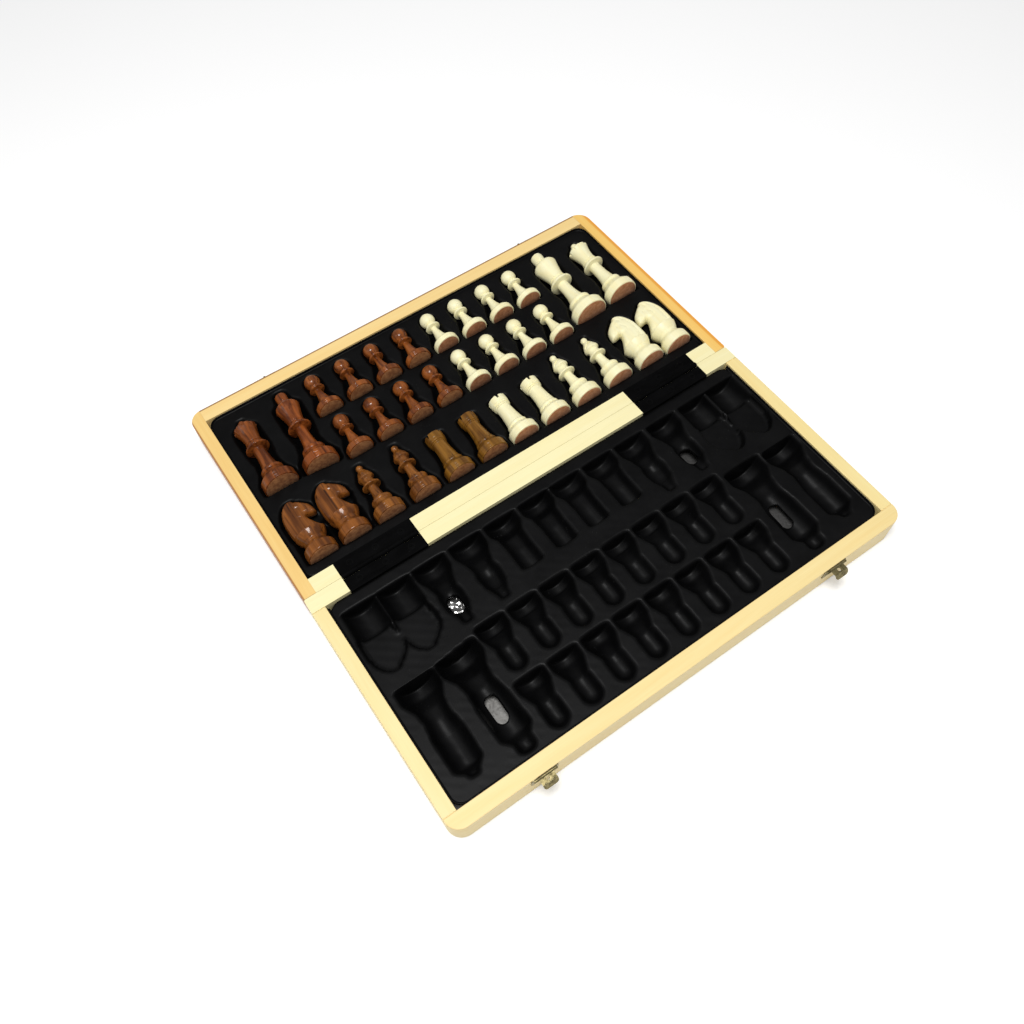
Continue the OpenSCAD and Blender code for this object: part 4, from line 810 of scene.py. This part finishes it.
for name, (light, dark, along, seed, outer_shade_band) in WALLS.items():
    plain = "hinge" in name
    dress(name, wood(name, light, dark, along, seed, wear=None if plain else rgb(226, 190, 128), bump=0.1,
                     contrast=0.55, fine=0.05, outer_shade_band=outer_shade_band, spec=0.35), 0.0001 if plain else 0.0006)
for half, seed in (("base", 31), ("lid", 37)):
    dress(f"{half}_panel", wood(f"{half}_panel", rgb(112, 74, 46), rgb(66, 40, 24), "X", seed,
                                deep=rgb(40, 24, 15), contrast=1.3, wear=rgb(140, 100, 64)), 0.0002)
    dress(f"{half}_light_squares", wood(f"{half}_light_squares", rgb(230, 200, 146), rgb(206, 168, 112), "X",
                                        seed + 2, contrast=1.1, figure=230))
    dress(f"{half}_liner", liner_material(f"{half}_liner", 1.0 if half == "lid" else 0.3))
    dress(f"{half}_hinge_leaves", HINGE, 0.0003)
    dress(f"{half}_hinge_screws", HINGE, 0.0001)
dress("hinge_pins", HINGE, 0.0002)
for name in ("latch_plates", "latch_nails", "hasp_left", "hasp_right", "hasp_pins", "catch_plates", "catch_nails"):
    dress(name, BRASS, 0.00012)

base_tray = tray("tray_in_base", 1, FLOCK)
lid_tray = tray("tray_in_lid", -1, FLOCK)
for obj, body in ((base_tray, "base"), (lid_tray, "lid")):
    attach(obj, body)
    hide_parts(f"{body}_tray")
    edge = tray_edge(f"tray_edge_in_{body}", 1 if body == "base" else -1, FLOCK)
    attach(edge, body)

# The pieces, each with its own cut of wood
LIGHT = [wood(f"light_piece_{k}", rgb(255, 252, 214), rgb(254, 242, 186), "Y", 40 + 3 * k, contrast=0.6,
              figure=260, gloss=(0.36, 0.46), coat=0.15, coat_rough=0.3, fine=0.05, bump=0.06, spec=0.35)
         for k in range(2)]
DARKS = {
    "king": (rgb(158, 84, 34), rgb(92, 42, 14), rgb(44, 17, 5)),
    "queen": (rgb(148, 80, 32), rgb(86, 40, 14), rgb(42, 17, 5)),
    "rook": (rgb(146, 100, 34), rgb(96, 60, 16), rgb(50, 27, 7)),
    "bishop": (rgb(152, 94, 38), rgb(94, 52, 18), rgb(46, 21, 6)),
    "knight": (rgb(146, 86, 34), rgb(90, 48, 16), rgb(44, 19, 6)),
    "pawn": (rgb(154, 86, 36), rgb(94, 46, 17), rgb(46, 19, 6)),
}
DARK = {kind: wood(f"dark_{kind}", a, b, "Y", 60 + 7 * i, deep=c, contrast=1.3, figure=240, gloss=(0.32, 0.42),
                   coat=0.5, coat_rough=0.1, fine=0.18, bump=0.08, spec=0.12)
        for i, (kind, (a, b, c)) in enumerate(DARKS.items())}

SHAPES = {
    "king": (king_profile(), 15.1, 72, None), "queen": (queen_profile(), 13.9, 144, queen_crown),
    "rook": (rook_profile(), 11.9, 120, rook_gaps), "bishop": (bishop_profile(), 11.9, 96, bishop_cut),
    "pawn": (pawn_profile(), 10.7, 64, None),
}
KNIGHT = knight_mesh()

count = 0
for side, colour in ((1, "light"), (-1, "dark")):
    seen = {}
    for kind, x, y, turn in places(side):
        seen[kind] = k = seen.get(kind, 0) + 1
        node = f"{kind}_{colour}" + ("" if kind in ("king", "queen") else f"_{k}")
        felt = FELT_DARK if side < 0 else FELT_PAWN if kind == "pawn" else FELT_LIGHT
        mats = [LIGHT[count % 2] if side > 0 else DARK[kind], felt]
        count += 1
        if kind == "knight":
            obj = knight(f"{node}_turned", KNIGHT, side, x, y, mats)
        else:
            prof, r, n, shape = SHAPES[kind]
            if kind == "rook" and side < 0:
                shape = rook_gaps_dark
            girth, length = (KING_GIRTH[side], KING_LENGTH[side]) if kind == "king" else (1.0, 1.0)
            obj = turned(f"{node}_turned", prof, r, side, x, y, mats, n, shape, girth, length, turn)
        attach(obj, node)
        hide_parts(node)


# Floor, light and camera

def area(name, at, to, size, power):
    data = bpy.data.lights.new(name, "AREA")
    data.shape = "RECTANGLE"
    data.size, data.size_y = size
    data.energy = power
    obj = bpy.data.objects.new(name, data)
    scene.collection.objects.link(obj)
    obj.location = at
    obj.rotation_euler = (Vector(to) - Vector(at)).to_track_quat("-Z", "Y").to_euler()
    return obj


SOFTBOX_AT, SOFTBOX_SIZE, SOFTBOX_POWER = (-0.22, -0.2, 1.46), (0.5, 0.5), 15.5
FILL_AT, FILL_SIZE, FILL_POWER = (-0.9, 0.25, 0.9), (0.5, 0.5), 1.0
WORLD_LEVEL, FLOOR_HALF, FLOOR_GREY, FLOOR_WHITE = 0.32, 4.0, 0.86, 0.3
CAMERA_AT, CAMERA_TO, CAMERA_ROLL, LENS = (-0.2079, -0.3031, 0.5983), (0.2631, 0.4241, -0.8666), -3.31, 32.37

area("softbox", SOFTBOX_AT, (0, 0, 0), SOFTBOX_SIZE, SOFTBOX_POWER)
area("fill", FILL_AT, (0, 0, 0), FILL_SIZE, FILL_POWER)

world = bpy.data.worlds.new("world")
scene.world = world
world.use_nodes = True
back = world.node_tree.nodes["Background"]
back.inputs[0].default_value = (1, 1, 1, 1)
back.inputs[1].default_value = WORLD_LEVEL

floor_mesh = bpy.data.meshes.new("floor")
s = FLOOR_HALF
floor_mesh.from_pydata([(-s, -s, 0), (s, -s, 0), (s, s, 0), (-s, s, 0)], [], [(0, 1, 2, 3)])
floor = bpy.data.objects.new("floor", floor_mesh)
scene.collection.objects.link(floor)
floor.location.z = -0.0002
f = Tree("floor", Roughness=0.9)
f.put(f.shader.inputs["Base Color"], (FLOOR_GREY, FLOOR_GREY, FLOOR_GREY, 1))
grit = f.noise(f.place(), 30.0, 2.0)
f.put(f.shader.inputs["Normal"], f.bump(grit, 0.02, 0.001))
rays = f.t.nodes.new("ShaderNodeLightPath")
f.put(f.shader.inputs["Emission Color"], (1, 1, 1, 1))
white = f.math("MAXIMUM", rays.outputs["Is Camera Ray"],
               f.math("MAXIMUM", rays.outputs["Is Glossy Ray"], rays.outputs["Is Transmission Ray"]))
f.put(f.shader.inputs["Emission Strength"], f.math("MULTIPLY", white, FLOOR_WHITE))
floor.data.materials.append(f.mat)

forward = Vector(CAMERA_TO).normalized()
right = forward.cross(Vector((0, 0, 1))).normalized()
up = right.cross(forward)
roll = math.radians(CAMERA_ROLL)
right, up = right * math.cos(roll) + up * math.sin(roll), up * math.cos(roll) - right * math.sin(roll)
lens = bpy.data.cameras.new("camera")
lens.lens, lens.sensor_width, lens.clip_start = LENS, 36.0, 0.01
camera = bpy.data.objects.new("camera", lens)
scene.collection.objects.link(camera)
turn = Matrix((right, up, -forward)).transposed().to_4x4()
camera.matrix_world = Matrix.Translation(CAMERA_AT) @ turn
scene.camera = camera
